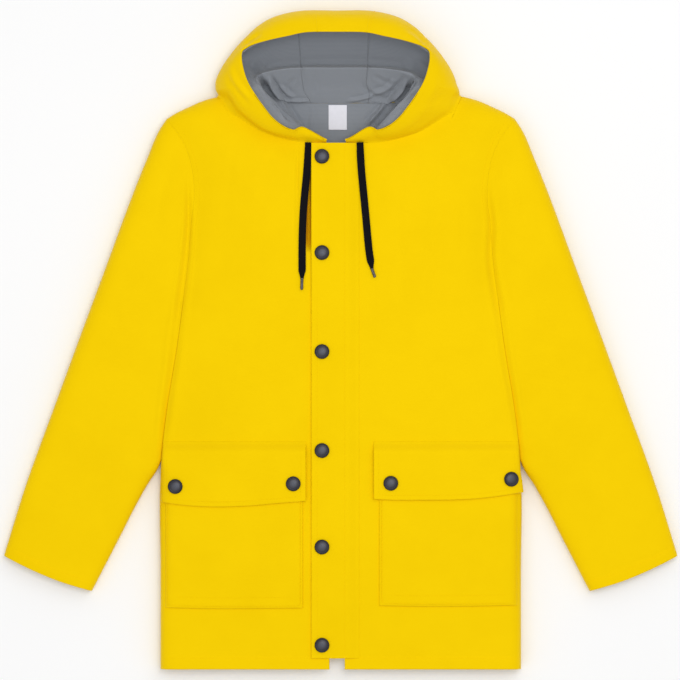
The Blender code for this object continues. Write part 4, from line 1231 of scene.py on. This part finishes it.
def off_the_seams(plan, neck):
    """Draws plan points back from the armhole and neck seams by a hair, but not off the folds."""
    half = half_plane(plan)
    hair = SEWN_HALF * ease(distance(half, BODY_FOLDS))
    pulled = plan.copy()
    pulled[..., 0] -= np.sign(plan[..., 0]) * hair * bump(distance(half, (ARM,)) / SEAM_PULL_REACH)
    pulled[..., 1] -= hair * bump(distance(half, (neck,)) / SEAM_PULL_REACH)
    return pulled


def front_plan(side):
    """Plan grid of one front. side is 1 for +X."""
    centre_x = LEFT_FRONT_EDGE if side > 0 else -RIGHT_FRONT_EDGE
    hem = np.array([[SIDE[0][0], HEM_Y], [centre_x, HEM_Y]])
    top = np.concatenate([SHOULDER_LINE, NECK[1:], [[centre_x, CENTRE_NECK_Y]]])
    centre = np.array([[centre_x, HEM_Y], [centre_x, CENTRE_NECK_Y]])
    across = graded(SIDE[0][0] - centre_x, PITCH, FOLD_FINE, EDGE_FINE, PLACKET_MARKS)
    along = graded(lengths(BODY_EDGE)[-1], ROW_PITCH, EDGE_FINE, FOLD_FINE, (HEM_BAND,))
    plan = patch(hem, top, BODY_EDGE, centre, across, along)
    return off_the_seams(plan, NECK) * np.array([side, 1])


def back_plan():
    """Plan grid of the back, whose hem rises from its sides to its middle."""
    half_top = np.concatenate([SHOULDER_LINE, BACK_NECK_LINE[1:]])
    top = np.concatenate([mirrored(half_top), half_top[-2::-1]])
    hem = np.array([[-SIDE[0][0], HEM_Y], [SIDE[0][0], HEM_Y]])
    across = graded(2 * SIDE[0][0], UNDER_PITCH, FOLD_FINE, FOLD_FINE)
    along = graded(lengths(BODY_EDGE)[-1], BACK_PITCH, EDGE_FINE, FOLD_FINE)
    plan = patch(hem, top, mirrored(BODY_EDGE), BODY_EDGE, across, along)
    raised = ease((SIDE[0][0] - np.abs(plan[..., 0])) / BACK_HEM_RISE_REACH)
    low = np.clip(1 - (plan[..., 1] - HEM_Y) / BACK_HEM_RISE_HEIGHT, 0, 1)
    plan[..., 1] += (BACK_HEM_Y - HEM_Y) * raised * low
    return off_the_seams(plan, BACK_NECK_LINE)


def sleeve_plan(pitch):
    """Plan grid of the +X sleeve: rows from armhole to cuff, columns from its outer edge to its inner."""
    across = graded(lengths(ARM)[-1], pitch, FOLD_FINE, FOLD_FINE)
    length = lengths(OUTER)[-1]
    along = graded(length, ROW_PITCH, EDGE_FINE, EDGE_FINE, (length - CUFF_BAND,))
    plan = patch(ARM[::-1], CUFF_LINE, OUTER, INNER, across, along)
    hair = SEWN_HALF * ease(distance(plan, SLEEVE_FOLDS))
    plan[..., 0] += hair * bump(distance(plan, (ARM,)) / SEAM_PULL_REACH)
    return plan


def sewn_at(plan, lines):
    """1 on plan points that lie on one of the seams, 0 elsewhere."""
    return (distance(half_plane(plan), lines) < 1.0).astype(float)


def make_body(materials):
    cloths = [materials["yellow"], materials["lining"]]
    for name, side in SIDES:
        plan = front_plan(side)
        points, normal = front_face(plan)
        face = points + normal * gape(plan)[..., None], normal
        cloth_piece(
            "front_" + name, lifted(face, 0.0), lifted(face, -WALL), cloths, "yellow", ["back"],
            sewn=sewn_at(plan, (ARM, NECK, SHOULDER_LINE, SIDE)),
            facing=plan[..., 1] < HEM_Y + HEM_BAND + TURNED_MORE,
        )
        top = sleeve_face(sleeve_plan(PITCH), 1, name)
        under = sleeve_face(sleeve_plan(UNDER_PITCH), -1, name)
        rings = []
        for offset in (0.0, -WALL):
            halves = moved(top, offset), moved(under, offset)[:, -2:0:-1]
            rings.append(np.concatenate(halves, axis=1) * np.array([side, 1, 1]))
        sewn, facing = np.zeros(rings[0].shape[:2]), np.zeros(rings[0].shape[:2], bool)
        sewn[0], facing[-CUFF_TURNED_ROWS:] = 1, True
        cloth_piece(
            "sleeve_" + name, *rings, cloths, "yellow", [], closed=True, sewn=sewn, facing=facing,
            nodes=("sleeve_front_" + name, "sleeve_back_" + name),
        )
    plan = back_plan()
    face = back_face(plan)
    cloth_piece(
        "back", lowered(face, 0.0), lowered(face, -WALL), cloths, "yellow", [],
        sewn=sewn_at(plan, (ARM, BACK_NECK_LINE, SHOULDER_LINE, SIDE)),
        facing=plan[..., 1] < BACK_HEM_Y + HEM_BAND,
    )


FRONT_HEM_ENDS = 2  # the stitching stops this far from the fronts' edges
BACK_HEM_ENDS = 3
CUFF_ENDS = 0.012  # as a share of the cuff
CUFF_STEPS = 60
ARM_STITCHED = slice(3, -4)  # of the armhole's points
SUNK_UNDER = 2  # the threads under the sleeves lie this many radii in, so that the coat rests on cloth
SUNK_BACK = 1.5


def stitch_body(materials):
    """The thread along the body's hems, the cuffs and the armholes."""
    arm = beside(ARM, -ARM_STITCH)[ARM_STITCHED]
    side_x = SIDE[0][0]
    for name, side in SIDES:
        centre_x = LEFT_FRONT_EDGE if side > 0 else -RIGHT_FRONT_EDGE
        y = HEM_Y + HEM_BAND
        hem = np.array([[centre_x + FRONT_HEM_ENDS, y], [side_x - FRONT_HEM_ENDS, y]])
        rows = [on_face(front_face, line * np.array([side, 1])) for line in (hem, arm)]
        stitched("front_" + name, rows, materials)
        cuff = at_lengths(CUFF_LINE, np.linspace(CUFF_ENDS, 1 - CUFF_ENDS, CUFF_STEPS))
        cuff = beside(cuff, CUFF_BAND)
        for up, part, sunk in ((1, "front", 0), (-1, "back", SUNK_UNDER)):
            row = on_face(lambda plan: sleeve_face(plan, up, name), cuff, -sunk * THREAD_RADIUS)
            row = [values * [side, 1, 1] for values in row]
            stitched("sleeve_" + part + "_" + name, [row], materials)
    y = BACK_HEM_Y + HEM_BAND
    hem = np.array([[side_x - BACK_HEM_ENDS, y], [BACK_HEM_ENDS - side_x, y]])
    rows = []
    for line in (hem, arm * np.array([-1, 1]), arm):
        points, normals = on_face(back_face, line)
        rows.append((points - SUNK_BACK * THREAD_RADIUS * normals, normals))
    stitched("back", rows, materials)


# ---- what lies on the fronts -----------------------------------------------------------------

def stitch_round(bottom, top_y, inner, outer, up, trimmed):
    """A seam inside a piece's free edges: down one side, along its curved bottom and up the other.

    inner, outer and up are how far in it runs from its three edges, and trimmed is how many of the
    bottom's points it leaves out at both corners.
    """
    line = smooth(bottom)
    first, last = line[0] + [inner, up], line[-1] + [-outer, up]
    return np.concatenate([
        [[first[0], top_y], first], line[trimmed:-trimmed] + [0, up], [last, [last[0], top_y]],
    ])


def placket_thinned(x):
    """0 on most of the placket, up to 1 at its sewn side."""
    return ease((x - PLACKET_FLAT_FROM) / (PLACKET_RIGHT - PLACKET_FLAT_FROM))


def placket_offset(plan):
    """How far the placket stands off the fronts: a little more where it gapes at its free edge."""
    x, y = plan[..., 0], plan[..., 1]
    lift = PLACKET_LIFT * ease((PLACKET_LEFT + PLACKET_LIFT_REACH - x) / PLACKET_LIFT_REACH)
    lift = lift * bump((y - PLACKET_LIFT_Y) / PLACKET_LIFT_HALF)
    thinned = placket_thinned(x)
    return ON_FRONT * (1 - thinned) + PLACKET_THINNED_GAP * thinned + lift


PLACKET_FREE_STITCH = 6  # from the placket's free edge to its stitching
PLACKET_SEWN_STITCH = 14.5  # and from its sewn side
PLACKET_STITCH_ENDS = 3


def make_placket(materials):
    top = CENTRE_NECK_Y - SEWN_HALF
    plan = strip_plan(PLACKET_LEFT, PLACKET_RIGHT, PLACKET_BOTTOM_Y, top, PLACKET_PITCHES, EDGE_FINE)
    face, offset = front_face(plan), placket_offset(plan)
    wall = WALL + (PRESSED_WALL - WALL) * placket_thinned(plan[..., 0])
    cloth_piece(
        "placket", moved(face, offset + wall), moved(face, offset), [materials["yellow"]] * 2, "yellow",
        ["front_left", "front_right"], sewn=(plan[..., 1] > CENTRE_NECK_Y - 1).astype(float),
    )
    high, low = CENTRE_NECK_Y - PLACKET_STITCH_ENDS, PLACKET_BOTTOM_Y + PLACKET_STITCH_ENDS
    free_x, sewn_x = PLACKET_LEFT + PLACKET_FREE_STITCH, PLACKET_RIGHT - PLACKET_SEWN_STITCH
    seams = [(free_x, high), (free_x, low)], [(sewn_x, low), (sewn_x, high)]
    stitched("placket", [on_face(front_face, line, ON_PIECE) for line in seams], materials)


POCKET_STITCH = 2.5  # from a pocket's edges to its stitching
POCKET_SECOND_STITCH = 11.0
POCKET_PRESS_PAST = 2  # its bottom edge is pressed this much less than its sides


def make_pocket(name, side, materials):
    bottom, turn = POCKET_BOTTOMS[name], np.array([side, 1])
    width, height = POCKET_OUTER_X - POCKET_INNER_X, POCKET_TOP_Y - bottom[0][1]
    plan = edged_plan(bottom, POCKET_TOP_Y, width, height, PITCH)
    x, y = plan[..., 0], plan[..., 1]
    from_side = np.minimum(np.abs(x - bottom[0][0]), np.abs(x - bottom[-1][0]))
    from_edge = np.minimum(from_side, y - bottom[0][1] + POCKET_PRESS_PAST)
    pressed = 1 - ease(from_edge / POCKET_PRESS_REACH)
    face = front_face(plan * turn)
    outer = laid_over(face, ON_PIECE - POCKET_PRESSED * pressed)
    inner = laid_over(face, ON_FRONT - POCKET_PRESSED_UNDER * pressed)
    cloths = [materials["yellow"]] * 2
    cloth_piece("pocket_" + name, outer, inner, cloths, "yellow", ["front_" + name])
    seams = (
        stitch_round(bottom, POCKET_TOP_Y, *[POCKET_STITCH] * 3, trimmed=8),
        smooth(bottom)[4:-4] + [0, POCKET_SECOND_STITCH],
    )
    rows = [on_face(front_face, line * turn, ON_PIECE) for line in seams]
    stitched("pocket_" + name, rows, materials)


def flap_offset(plan):
    """The flap starts on the front, climbs over the pocket's top, and stands off at its free edge."""
    down = FLAP_TOP_Y - plan[..., 1]
    over_pocket = FLAP_ROOT + (WALL + 2 * SEAM_GAP) * ease(down / FLAP_CLIMB)
    middle_x = (FLAP_INNER_X + FLAP_OUTER_X) / 2
    across = 2 * (np.abs(plan[..., 0]) - middle_x) / (FLAP_OUTER_X - FLAP_INNER_X)
    lift = FLAP_LIFT * np.clip(1 - across**2, 0, 1)
    return over_pocket + lift * np.clip(down / (FLAP_TOP_Y - FLAP_BOTTOM_Y), 0, 1) ** 3


FLAP_STITCH = 5  # from a flap's edges to its stitching
FLAP_OUTER_STITCH = 6
FLAP_STITCH_TOP = 8  # it starts this far below the flap's top
FLAP_SEAM_STEPS = 90
FLAP_THIN_FROM = 3  # the free edge's thinner part, round the edge's lowest height
FLAP_THIN_REACH = 5


def make_flap(name, side, materials):
    bottom, turn = FLAP_BOTTOMS[name], np.array([side, 1])
    width, height = FLAP_OUTER_X - FLAP_INNER_X, FLAP_TOP_Y - FLAP_BOTTOM_Y
    plan = edged_plan(bottom, FLAP_TOP_Y, width, height, FLAP_PITCH, FLAP_TOP_INSET) * turn
    face, offset, y = front_face(plan), flap_offset(plan), plan[..., 1]
    wall = PRESSED_WALL + (WALL - PRESSED_WALL) * ease((FLAP_TOP_Y - y) / FLAP_FLAT_TO)
    at_edge = 1 - ease((y - FLAP_BOTTOM_Y + FLAP_THIN_FROM) / FLAP_THIN_REACH)
    wall -= FLAP_EDGE_THINNER * wall / WALL * at_edge
    spread = FLAP_SPREAD[name] * ease((FLAP_TOP_Y - FLAP_SPREAD_FROM - y) / FLAP_SPREAD_FADE)
    outer, inner = (laid_over(face, raised, spread) for raised in (offset + wall, offset))
    cloths = [materials["yellow"]] * 2
    cloth_piece("flap_" + name, outer, inner, cloths, "yellow", ["pocket_" + name])
    seam = stitch_round(
        bottom, FLAP_TOP_Y - FLAP_STITCH_TOP, FLAP_STITCH, FLAP_OUTER_STITCH, FLAP_STITCH, trimmed=12,
    )
    plan = at_lengths(seam, np.linspace(0, 1, FLAP_SEAM_STEPS))[None] * turn
    face = front_face(plan)
    points = laid_over(face, flap_offset(plan) + WALL)
    stitched("flap_" + name, [(points[0], face[1][0])], materials)


# A snap cap: (radius, height) along its turned profile, from its underside over the rim.
CAP_PROFILE = [
    (0, 0), (3, 0), (6.6, 0), (7.1, 0.15), (7.35, 0.5), (7.4, 0.9), (7.3, 1.35), (7.05, 1.75), (6.7, 2.05),
    (6.35, 2.15), (6.0, 2.05), (5.75, 1.85), (5.5, 1.75), (5.2, 1.8), (4.6, 2.02), (3.8, 2.22), (2.8, 2.38),
    (1.5, 2.47), (0, 2.5),
]
CAP_STEPS = 48


def snap_cap(name, x, y, offset, material):
    """A turned cap whose base stands off the fronts' face by offset."""
    profile = np.array(CAP_PROFILE[1:-1], float)
    turn = np.linspace(0, 2 * math.pi, CAP_STEPS, endpoint=False)
    ring = np.stack([np.cos(turn), np.sin(turn)], axis=-1)
    points, normals = front_face(np.array([[float(x), float(y)]]))
    base, axis = points[0] + normals[0] * offset, normals[0]
    across = np.cross([0, 1, 0], axis)
    across /= np.linalg.norm(across)
    axes = np.stack([across, np.cross(axis, across), axis])
    rims = profile[:, None, :1] * ring[None]
    heights = np.broadcast_to(profile[:, None, 1:], (len(profile), CAP_STEPS, 1))
    local = np.concatenate([rims, heights], axis=-1).reshape(-1, 3)
    local = np.concatenate([local, [[0, 0, CAP_PROFILE[0][1]], [0, 0, CAP_PROFILE[-1][1]]]])
    faces = quads(len(profile), CAP_STEPS, 0, True).tolist()
    last = len(profile) * CAP_STEPS
    for i in range(CAP_STEPS):
        k = (i + 1) % CAP_STEPS
        faces.append([i, k, last])
        faces.append([last - CAP_STEPS + i, last - CAP_STEPS + k, last + 1])
    cap = add_mesh(name + "_cap", base + local @ axes, faces, [material], cloth=local * [1, 1, 0])
    settle(cap, "snap", name)


def make_snaps(materials):
    on_placket = ON_PIECE + 1.5 * SEAM_GAP
    for number, y in enumerate(FRONT_SNAP_YS, start=1):
        snap_cap(f"snap_front_{number}", FRONT_SNAP_X, y, on_placket, materials["snap"])
    for name, places in FLAP_SNAPS.items():
        for end, (x, y) in zip(("a", "b"), places):
            offset = flap_offset(np.array([[x, y]]))[0] + WALL + SEAM_GAP
            snap_cap(f"snap_flap_{name}_{end}", x, y, offset, materials["snap"])


# ---- hood ------------------------------------------------------------------------------------

def row_between(rows, at):
    """A row of a table at a fractional index, on a smooth curve through the rows."""
    rows = np.asarray(rows, float)
    i = int(np.clip(math.floor(at), 0, len(rows) - 2))
    u = at - i
    before, after = rows[max(i - 1, 0)], rows[min(i + 2, len(rows) - 1)]
    return hermite(u, rows[i], rows[i + 1], (rows[i + 1] - before) / 2, (after - rows[i]) / 2)


def hood_seam_point(at):
    """Where a hood section meets the neck seam: the back's edge first, then the fronts'."""
    x = row_between([row[SEAM_X] for row in HOOD_SECTIONS], at)[0]
    if at <= SHOULDER_ROW:
        line = BACK_NECK_LINE
        y = np.interp(x, line[::-1, 0], line[::-1, 1]) + SEWN_HALF
        rise = lowered(back_face(np.array([[min(x, line[0, 0]), y]])), 0.0)[0, 2]
        return np.array([x, y, rise])
    y = np.interp(x, NECK[::-1, 0], NECK[::-1, 1]) + SEWN_HALF
    height = height_at(min(x, NECK[0, 0]), y - 1.0)
    return np.array([x, y, height])


SEAM_SOFTNESS = 0.9  # how much more gently the hood comes down to the fronts than its sections do
SEAM_SOFT_FROM = 0.2  # of a section before the shoulder's
SEAM_SOFT_REACH = 0.3
SHOULDER_UNDER = 0.5  # how far under its edge the last full section ends


def hood_section(at, samples):
    """Points of one outer section in millimetres, from the rim to the neck seam, for the +X half."""
    rim = row_between([row[RIM] for row in HOOD_SECTIONS], at)
    bulge = row_between([row[BULGE] for row in HOOD_SECTIONS], at)
    points = [rim, bulge]
    seam = hood_seam_point(at)
    if at < SHOULDER_ROW:
        full = [row[TURN] for row in HOOD_SECTIONS[:SHOULDER_ROW]]
        shoulder = hood_seam_point(SHOULDER_ROW)
        full.append((*shoulder, shoulder[0] - SHOULDER_UNDER, shoulder[1]))
        edge_x, edge_y, edge_z, under_x, under_y = row_between(full, at)
        points += [(edge_x, edge_y, edge_z), (under_x, under_y, seam[2])]
    curve = smooth(np.array([*points, seam]))
    run, drop = math.dist(bulge[:2], seam[:2]), bulge[2] - seam[2]
    away = np.linalg.norm(curve[:, :2] - seam[:2], axis=1) / run
    softer = SEAM_SOFTNESS * ease(at - SHOULDER_ROW + SEAM_SOFT_FROM)
    curve[:, 2] -= softer * drop * away * np.exp(-away / SEAM_SOFT_REACH)
    curve[:, 2] = np.maximum(curve[:, 2], 0)
    return at_lengths(curve, np.linspace(0, 1, samples))


# The hood is moved over by HOOD_X, less and less below these heights, and not at all at the fronts' seam.
SHIFT_LEFT_Y, SHIFT_RIGHT_Y, SHIFT_Y_FADE = 258, 250, 14
SHIFT_FROM_X, SHIFT_X_FADE = 6, 20
SHIFT_TOP_Z, SHIFT_Z_FADE = 34, 10


def hood_shift(points):
    """Moves the hood off to its own middle, less and less towards the fronts' neck seam."""
    x, y, z = np.moveaxis(points, -1, 0)
    from_y = np.where(x > 0, SHIFT_LEFT_Y, SHIFT_RIGHT_Y)
    low = ease((from_y - y) / SHIFT_Y_FADE) * ease((np.abs(x) - SHIFT_FROM_X) / SHIFT_X_FADE)
    seam_like = ease((SHIFT_TOP_Z - z) / SHIFT_Z_FADE)
    shifted = points.copy()
    shifted[..., 0] += HOOD_X * (1 - low * seam_like)
    return shifted


def grid_normals(points):
    """Unit normals of a grid of points."""
    normal = np.cross(np.gradient(points, axis=0), np.gradient(points, axis=1))
    return normal / np.linalg.norm(normal, axis=-1, keepdims=True)


def facing_up(points):
    """Normals of a hood grid, out of the cloth: up on the rows' first columns."""
    normal = grid_normals(points)
    return normal if normal[:, 1, 2].mean() > 0 else -normal


def both_halves(half):
    """A grid across the middle, from rows that run out from it."""
    return np.concatenate([half[:0:-1] * np.array([-1, 1, 1]), half])


ROWS_EACH = 14  # drawn sections for each section of the hood's table
HOOD_SAMPLES = 74
LAST_LINING_ROW = 10
# The drawn sections, counted from the crown's middle, where the centre panel meets the side panels.
HOOD_SEAM_ROWS = {"right": 9, "left": 15}
LINING_SEAM_ROWS = {"right": 17, "left": 15}


def relaxed(grid, weight, passes):
    """A grid with its inner points drawn towards their neighbours' mean by a weight of 0 to 1."""
    grid = grid.copy()
    share = weight[1:-1, 1:-1, None]
    for _ in range(passes):
        mean = (grid[:-2, 1:-1] + grid[2:, 1:-1] + grid[1:-1, :-2] + grid[1:-1, 2:]) / 4
        grid[1:-1, 1:-1] += share * (mean - grid[1:-1, 1:-1])
    return grid


NECK_COLUMN = {"yellow": -1, "lining": 0}  # of the hood's and the lining's grids
PANEL_SEWN = {"yellow": 1, "lining": 0.84}  # the lining's panel seams keep a fine groove
SEAM_COLUMNS = 7  # of the hood's grid, over which its wall turns in line with the body's wall
CREASE_FLOOR = 5.4  # no crease goes lower than this


def seam_normals(rows):
    """Outward normals where the hood meets the body: down at the back's seam, up at the fronts'."""
    turn = math.pi * ease((rows - SHOULDER_ROW + 1) / 2)
    return np.stack([np.sin(turn), np.zeros(len(rows)), -np.cos(turn)], axis=-1)


def in_line(normal, at_seam):
    """A grid's normals, turned towards the seam's own over the last columns."""
    past = np.arange(normal.shape[1]) - normal.shape[1] + SEAM_COLUMNS
    share = ease(past / (SEAM_COLUMNS - 1))[None, :, None]
    turned = normal * (1 - share) + both_halves(at_seam[:, None]) * share
    return turned / np.linalg.norm(turned, axis=-1, keepdims=True)


def make_panels(name, half, wall, seam_rows, slot, materials, rests_on, creases, at_seam=None):
    """A centre panel and two side panels from one half's grid of sections."""
    smooth_points = hood_shift(both_halves(half))
    normal = facing_up(smooth_points)
    crease = crease_heights(smooth_points[..., :2], creases) * np.clip(normal[..., 2], 0, 1)
    points = smooth_points + normal * crease[..., None]
    points[..., 2] = np.maximum(points[..., 2], np.minimum(smooth_points[..., 2], CREASE_FLOOR))
    if at_seam is not None:
        normal = in_line(normal, at_seam)
    middle = len(half) - 1
    low, high = middle - seam_rows["right"], middle + seam_rows["left"]
    cuts = {
        "_right": (slice(low, None, -1), -1),
        "_centre": (slice(low, high + 1), 0),
        "_left": (slice(high, None), 1),
    }
    for part, (kept, side) in cuts.items():
        outer = points[kept].copy()
        inner = outer - normal[kept] * wall
        sewn = np.zeros(outer.shape[:2])
        sewn[:, NECK_COLUMN[slot]] = 1
        ends = ((0, side),) if side else ((0, 1), (-1, -1))
        for row, way in ends:
            outer[row, :, 0] += way * SEWN_HALF
            inner[row, :, 0] += way * SEWN_HALF
            sewn[row] = PANEL_SEWN[slot]
        cloths = [materials[slot]] * 2
        cloth_piece(name + part, outer, inner, cloths, slot, rests_on, sewn=sewn)
    return points, normal


RIM_STITCH = 19.0  # from the hood's rim to the stitching of its cord's casing
RIM_STITCH_SHARE = 0.55  # of the way to the neck seam, where that is nearer
CASING_ENDS = 8  # drawn sections at each end without it
PANEL_STITCH = 3.0  # from the panel seams to their stitching
PANEL_STITCHED = slice(2, 34)  # of the sections' points
# Round the shoulders the hood's sections are relaxed, more and more towards the neck seam.
RELAXED_BEFORE = 0.3
RELAXED_HALF = 1.1
RELAX_PASSES = 30


def make_hood(materials):
    rows = np.arange(LAST_HOOD_ROW * ROWS_EACH + 1) / ROWS_EACH
    sheet = np.array([hood_section(at, HOOD_SAMPLES) for at in rows])
    at_shoulder = bump((rows - SHOULDER_ROW + RELAXED_BEFORE) / RELAXED_HALF)[:, None]
    sheet = relaxed(sheet, at_shoulder * ease(np.linspace(-1, 1.4, HOOD_SAMPLES))[None], RELAX_PASSES)
    points, normal = make_panels(
        "hood", sheet, WALL, HOOD_SEAM_ROWS, "yellow", materials, ["back", "front_left", "front_right"],
        HOOD_CREASES, seam_normals(rows),
    )
    casing, ups = [], []
    kept = slice(CASING_ENDS, -CASING_ENDS)
    for line, up in zip(points[kept], normal[kept]):
        run = lengths(line)
        at = min(RIM_STITCH, RIM_STITCH_SHARE * run[-1])
        for values, found in ((line, casing), (up, ups)):
            found.append([np.interp(at, run, column) for column in values.T])
    seams = [(np.array(casing), np.array(ups))]
    for name, side in SIDES:
        row = len(sheet) - 1 + side * HOOD_SEAM_ROWS[name]
        away = np.array([side * PANEL_STITCH, 0, 0])
        seams.append((points[row, PANEL_STITCHED] + away, normal[row, PANEL_STITCHED]))
    stitched("hood", seams, materials)


HOOD_INSIDE_STEP = 0.05  # of a section, to both sides, for the normals there
HOOD_INSIDE_SAMPLES = 60
LEAST_HOOD_ROW = 0.06
LINING_CLEARANCE = 4 * SEAM_GAP  # between the hood and its lining
LINING_RISE_SAMPLES = 44
LINING_FALL_SAMPLES = 50


def hood_inside(at, from_rim, offset):
    """A point inside the hood's wall: this far from the rim, and this far in from its outer face."""
    steps = (at - HOOD_INSIDE_STEP, at, at + HOOD_INSIDE_STEP)
    near = np.array([hood_section(row, HOOD_INSIDE_SAMPLES) for row in steps])
    normal = facing_up(near)[1]
    index = int(np.searchsorted(lengths(near[1])[1:], from_rim))
    return near[1, index] - normal[index] * offset


def lining_section(at):
    """Points of one lining section in millimetres, from the neck seam over the crest to the rim."""
    row = row_between(LINING_SECTIONS, at)
    crown = 1 - ease((at - CROWN_LINING_ROW) / CROWN_LINING_ROWS)
    depth = WALL + LINING_WALL + LINING_CLEARANCE
    hood_row = max(row[HOOD_ROW], LEAST_HOOD_ROW)
    band = hood_inside(hood_row, SIDE_BAND_DEPTH + (BAND_DEPTH - SIDE_BAND_DEPTH) * crown, depth)
    rim = hood_inside(hood_row, RIM_MARGIN, depth)
    up = smooth([row[INNER_END], row[SLOPE], row[CREST]])
    down = smooth([row[CREST], row[CREASE], row[FLOOR], band, rim])
    rising = at_lengths(up, np.linspace(0, 1, LINING_RISE_SAMPLES))
    falling = at_lengths(down, np.linspace(0, 1, LINING_FALL_SAMPLES))
    return np.concatenate([rising, falling[1:]])


def make_lining(materials):
    rows = np.arange(LAST_LINING_ROW * ROWS_EACH + 1) / ROWS_EACH
    sheet = np.array([lining_section(at) for at in rows])
    sheet[0, :, 0] = 0
    make_panels(
        "hood_lining", sheet, LINING_WALL, LINING_SEAM_ROWS, "lining", materials, ["back"], LINING_CREASES,
    )


def neck_sheet(name, finish, corners, top, wall, pitch, rests_on, creases, materials):
    """A flat cloth that is sewn along its upper edge. corners: left, right, low and high."""
    plan = strip_plan(*corners, (pitch, pitch), NECK_FINE).swapaxes(0, 1)
    raised = top + crease_heights(plan, creases)
    outer = np.concatenate([plan, raised[..., None]], axis=-1)
    inner = outer - np.array([0, 0, wall])
    sewn = (plan[..., 1] > corners[3] - 0.5).astype(float)
    cloth_piece(name, outer, inner, [materials[finish]] * 2, finish, rests_on, sewn=sewn)


def make_neck(materials):
    top = WALL + SEAM_GAP + LINING_WALL
    corners = -NECK_LINING_HALF, NECK_LINING_HALF, NECK_LINING_BOTTOM_Y, NECK_LINING_TOP_Y
    neck_sheet("neck_lining", "lining", corners, top, LINING_WALL, 1.35, ["back"], NECK_CREASES, materials)
    top += SEAM_GAP + LABEL_WALL
    corners = LABEL_LEFT, LABEL_RIGHT, LABEL_BOTTOM_Y, LABEL_TOP_Y
    neck_sheet("label", "label", corners, top, LABEL_WALL, 1.2, ["neck_lining"], [], materials)


# ---- light and floor -------------------------------------------------------------------------

FLOOR_HALF = 3000
WORLD_STRENGTH = 0.56
# Each lamp's name, place and size, which look at the coat's middle, and its power.
LAMPS = (
    ("overhead", (200, 250, 2600), 1100, 22.0),
    ("key", (1000, 1200, 2100), 1600, 8.0),
    ("fill", (-900, -1000, 2300), 2000, 8.0),
)


def make_light(materials):
    """A plain pale floor under broad soft studio light."""
    corners = [(-1, -1, 0), (1, -1, 0), (1, 1, 0), (-1, 1, 0)]
    floor = add_mesh("floor", FLOOR_HALF * np.array(corners, float), [[0, 1, 2, 3]], [materials["floor"]])
    world = bpy.data.worlds.new("studio")
    world.use_nodes = True
    background = world.node_tree.nodes["Background"]
    background.inputs["Color"].default_value = (1, 1, 1, 1)
    background.inputs["Strength"].default_value = WORLD_STRENGTH
    bpy.context.scene.world = world
    for name, (x, y, z), size, power in LAMPS:
        data = bpy.data.lights.new(name, "AREA")
        data.size = size * MM
        data.energy = power
        lamp = bpy.data.objects.new(name, data)
        lamp.location = np.array([x, y, z]) * MM
        lamp.rotation_euler = (math.atan2(math.hypot(x, y), z), 0, math.atan2(x, -y))
        bpy.context.scene.collection.objects.link(lamp)
    bpy.context.scene.view_settings.view_transform = "Standard"


def main():
    make_camera()
    materials = make_materials()
    make_cords(materials)
    make_body(materials)
    stitch_body(materials)
    make_placket(materials)
    for name, side in SIDES:
        make_pocket(name, side, materials)
        make_flap(name, side, materials)
    make_snaps(materials)
    make_hood(materials)
    make_lining(materials)
    make_neck(materials)
    make_light(materials)


main()
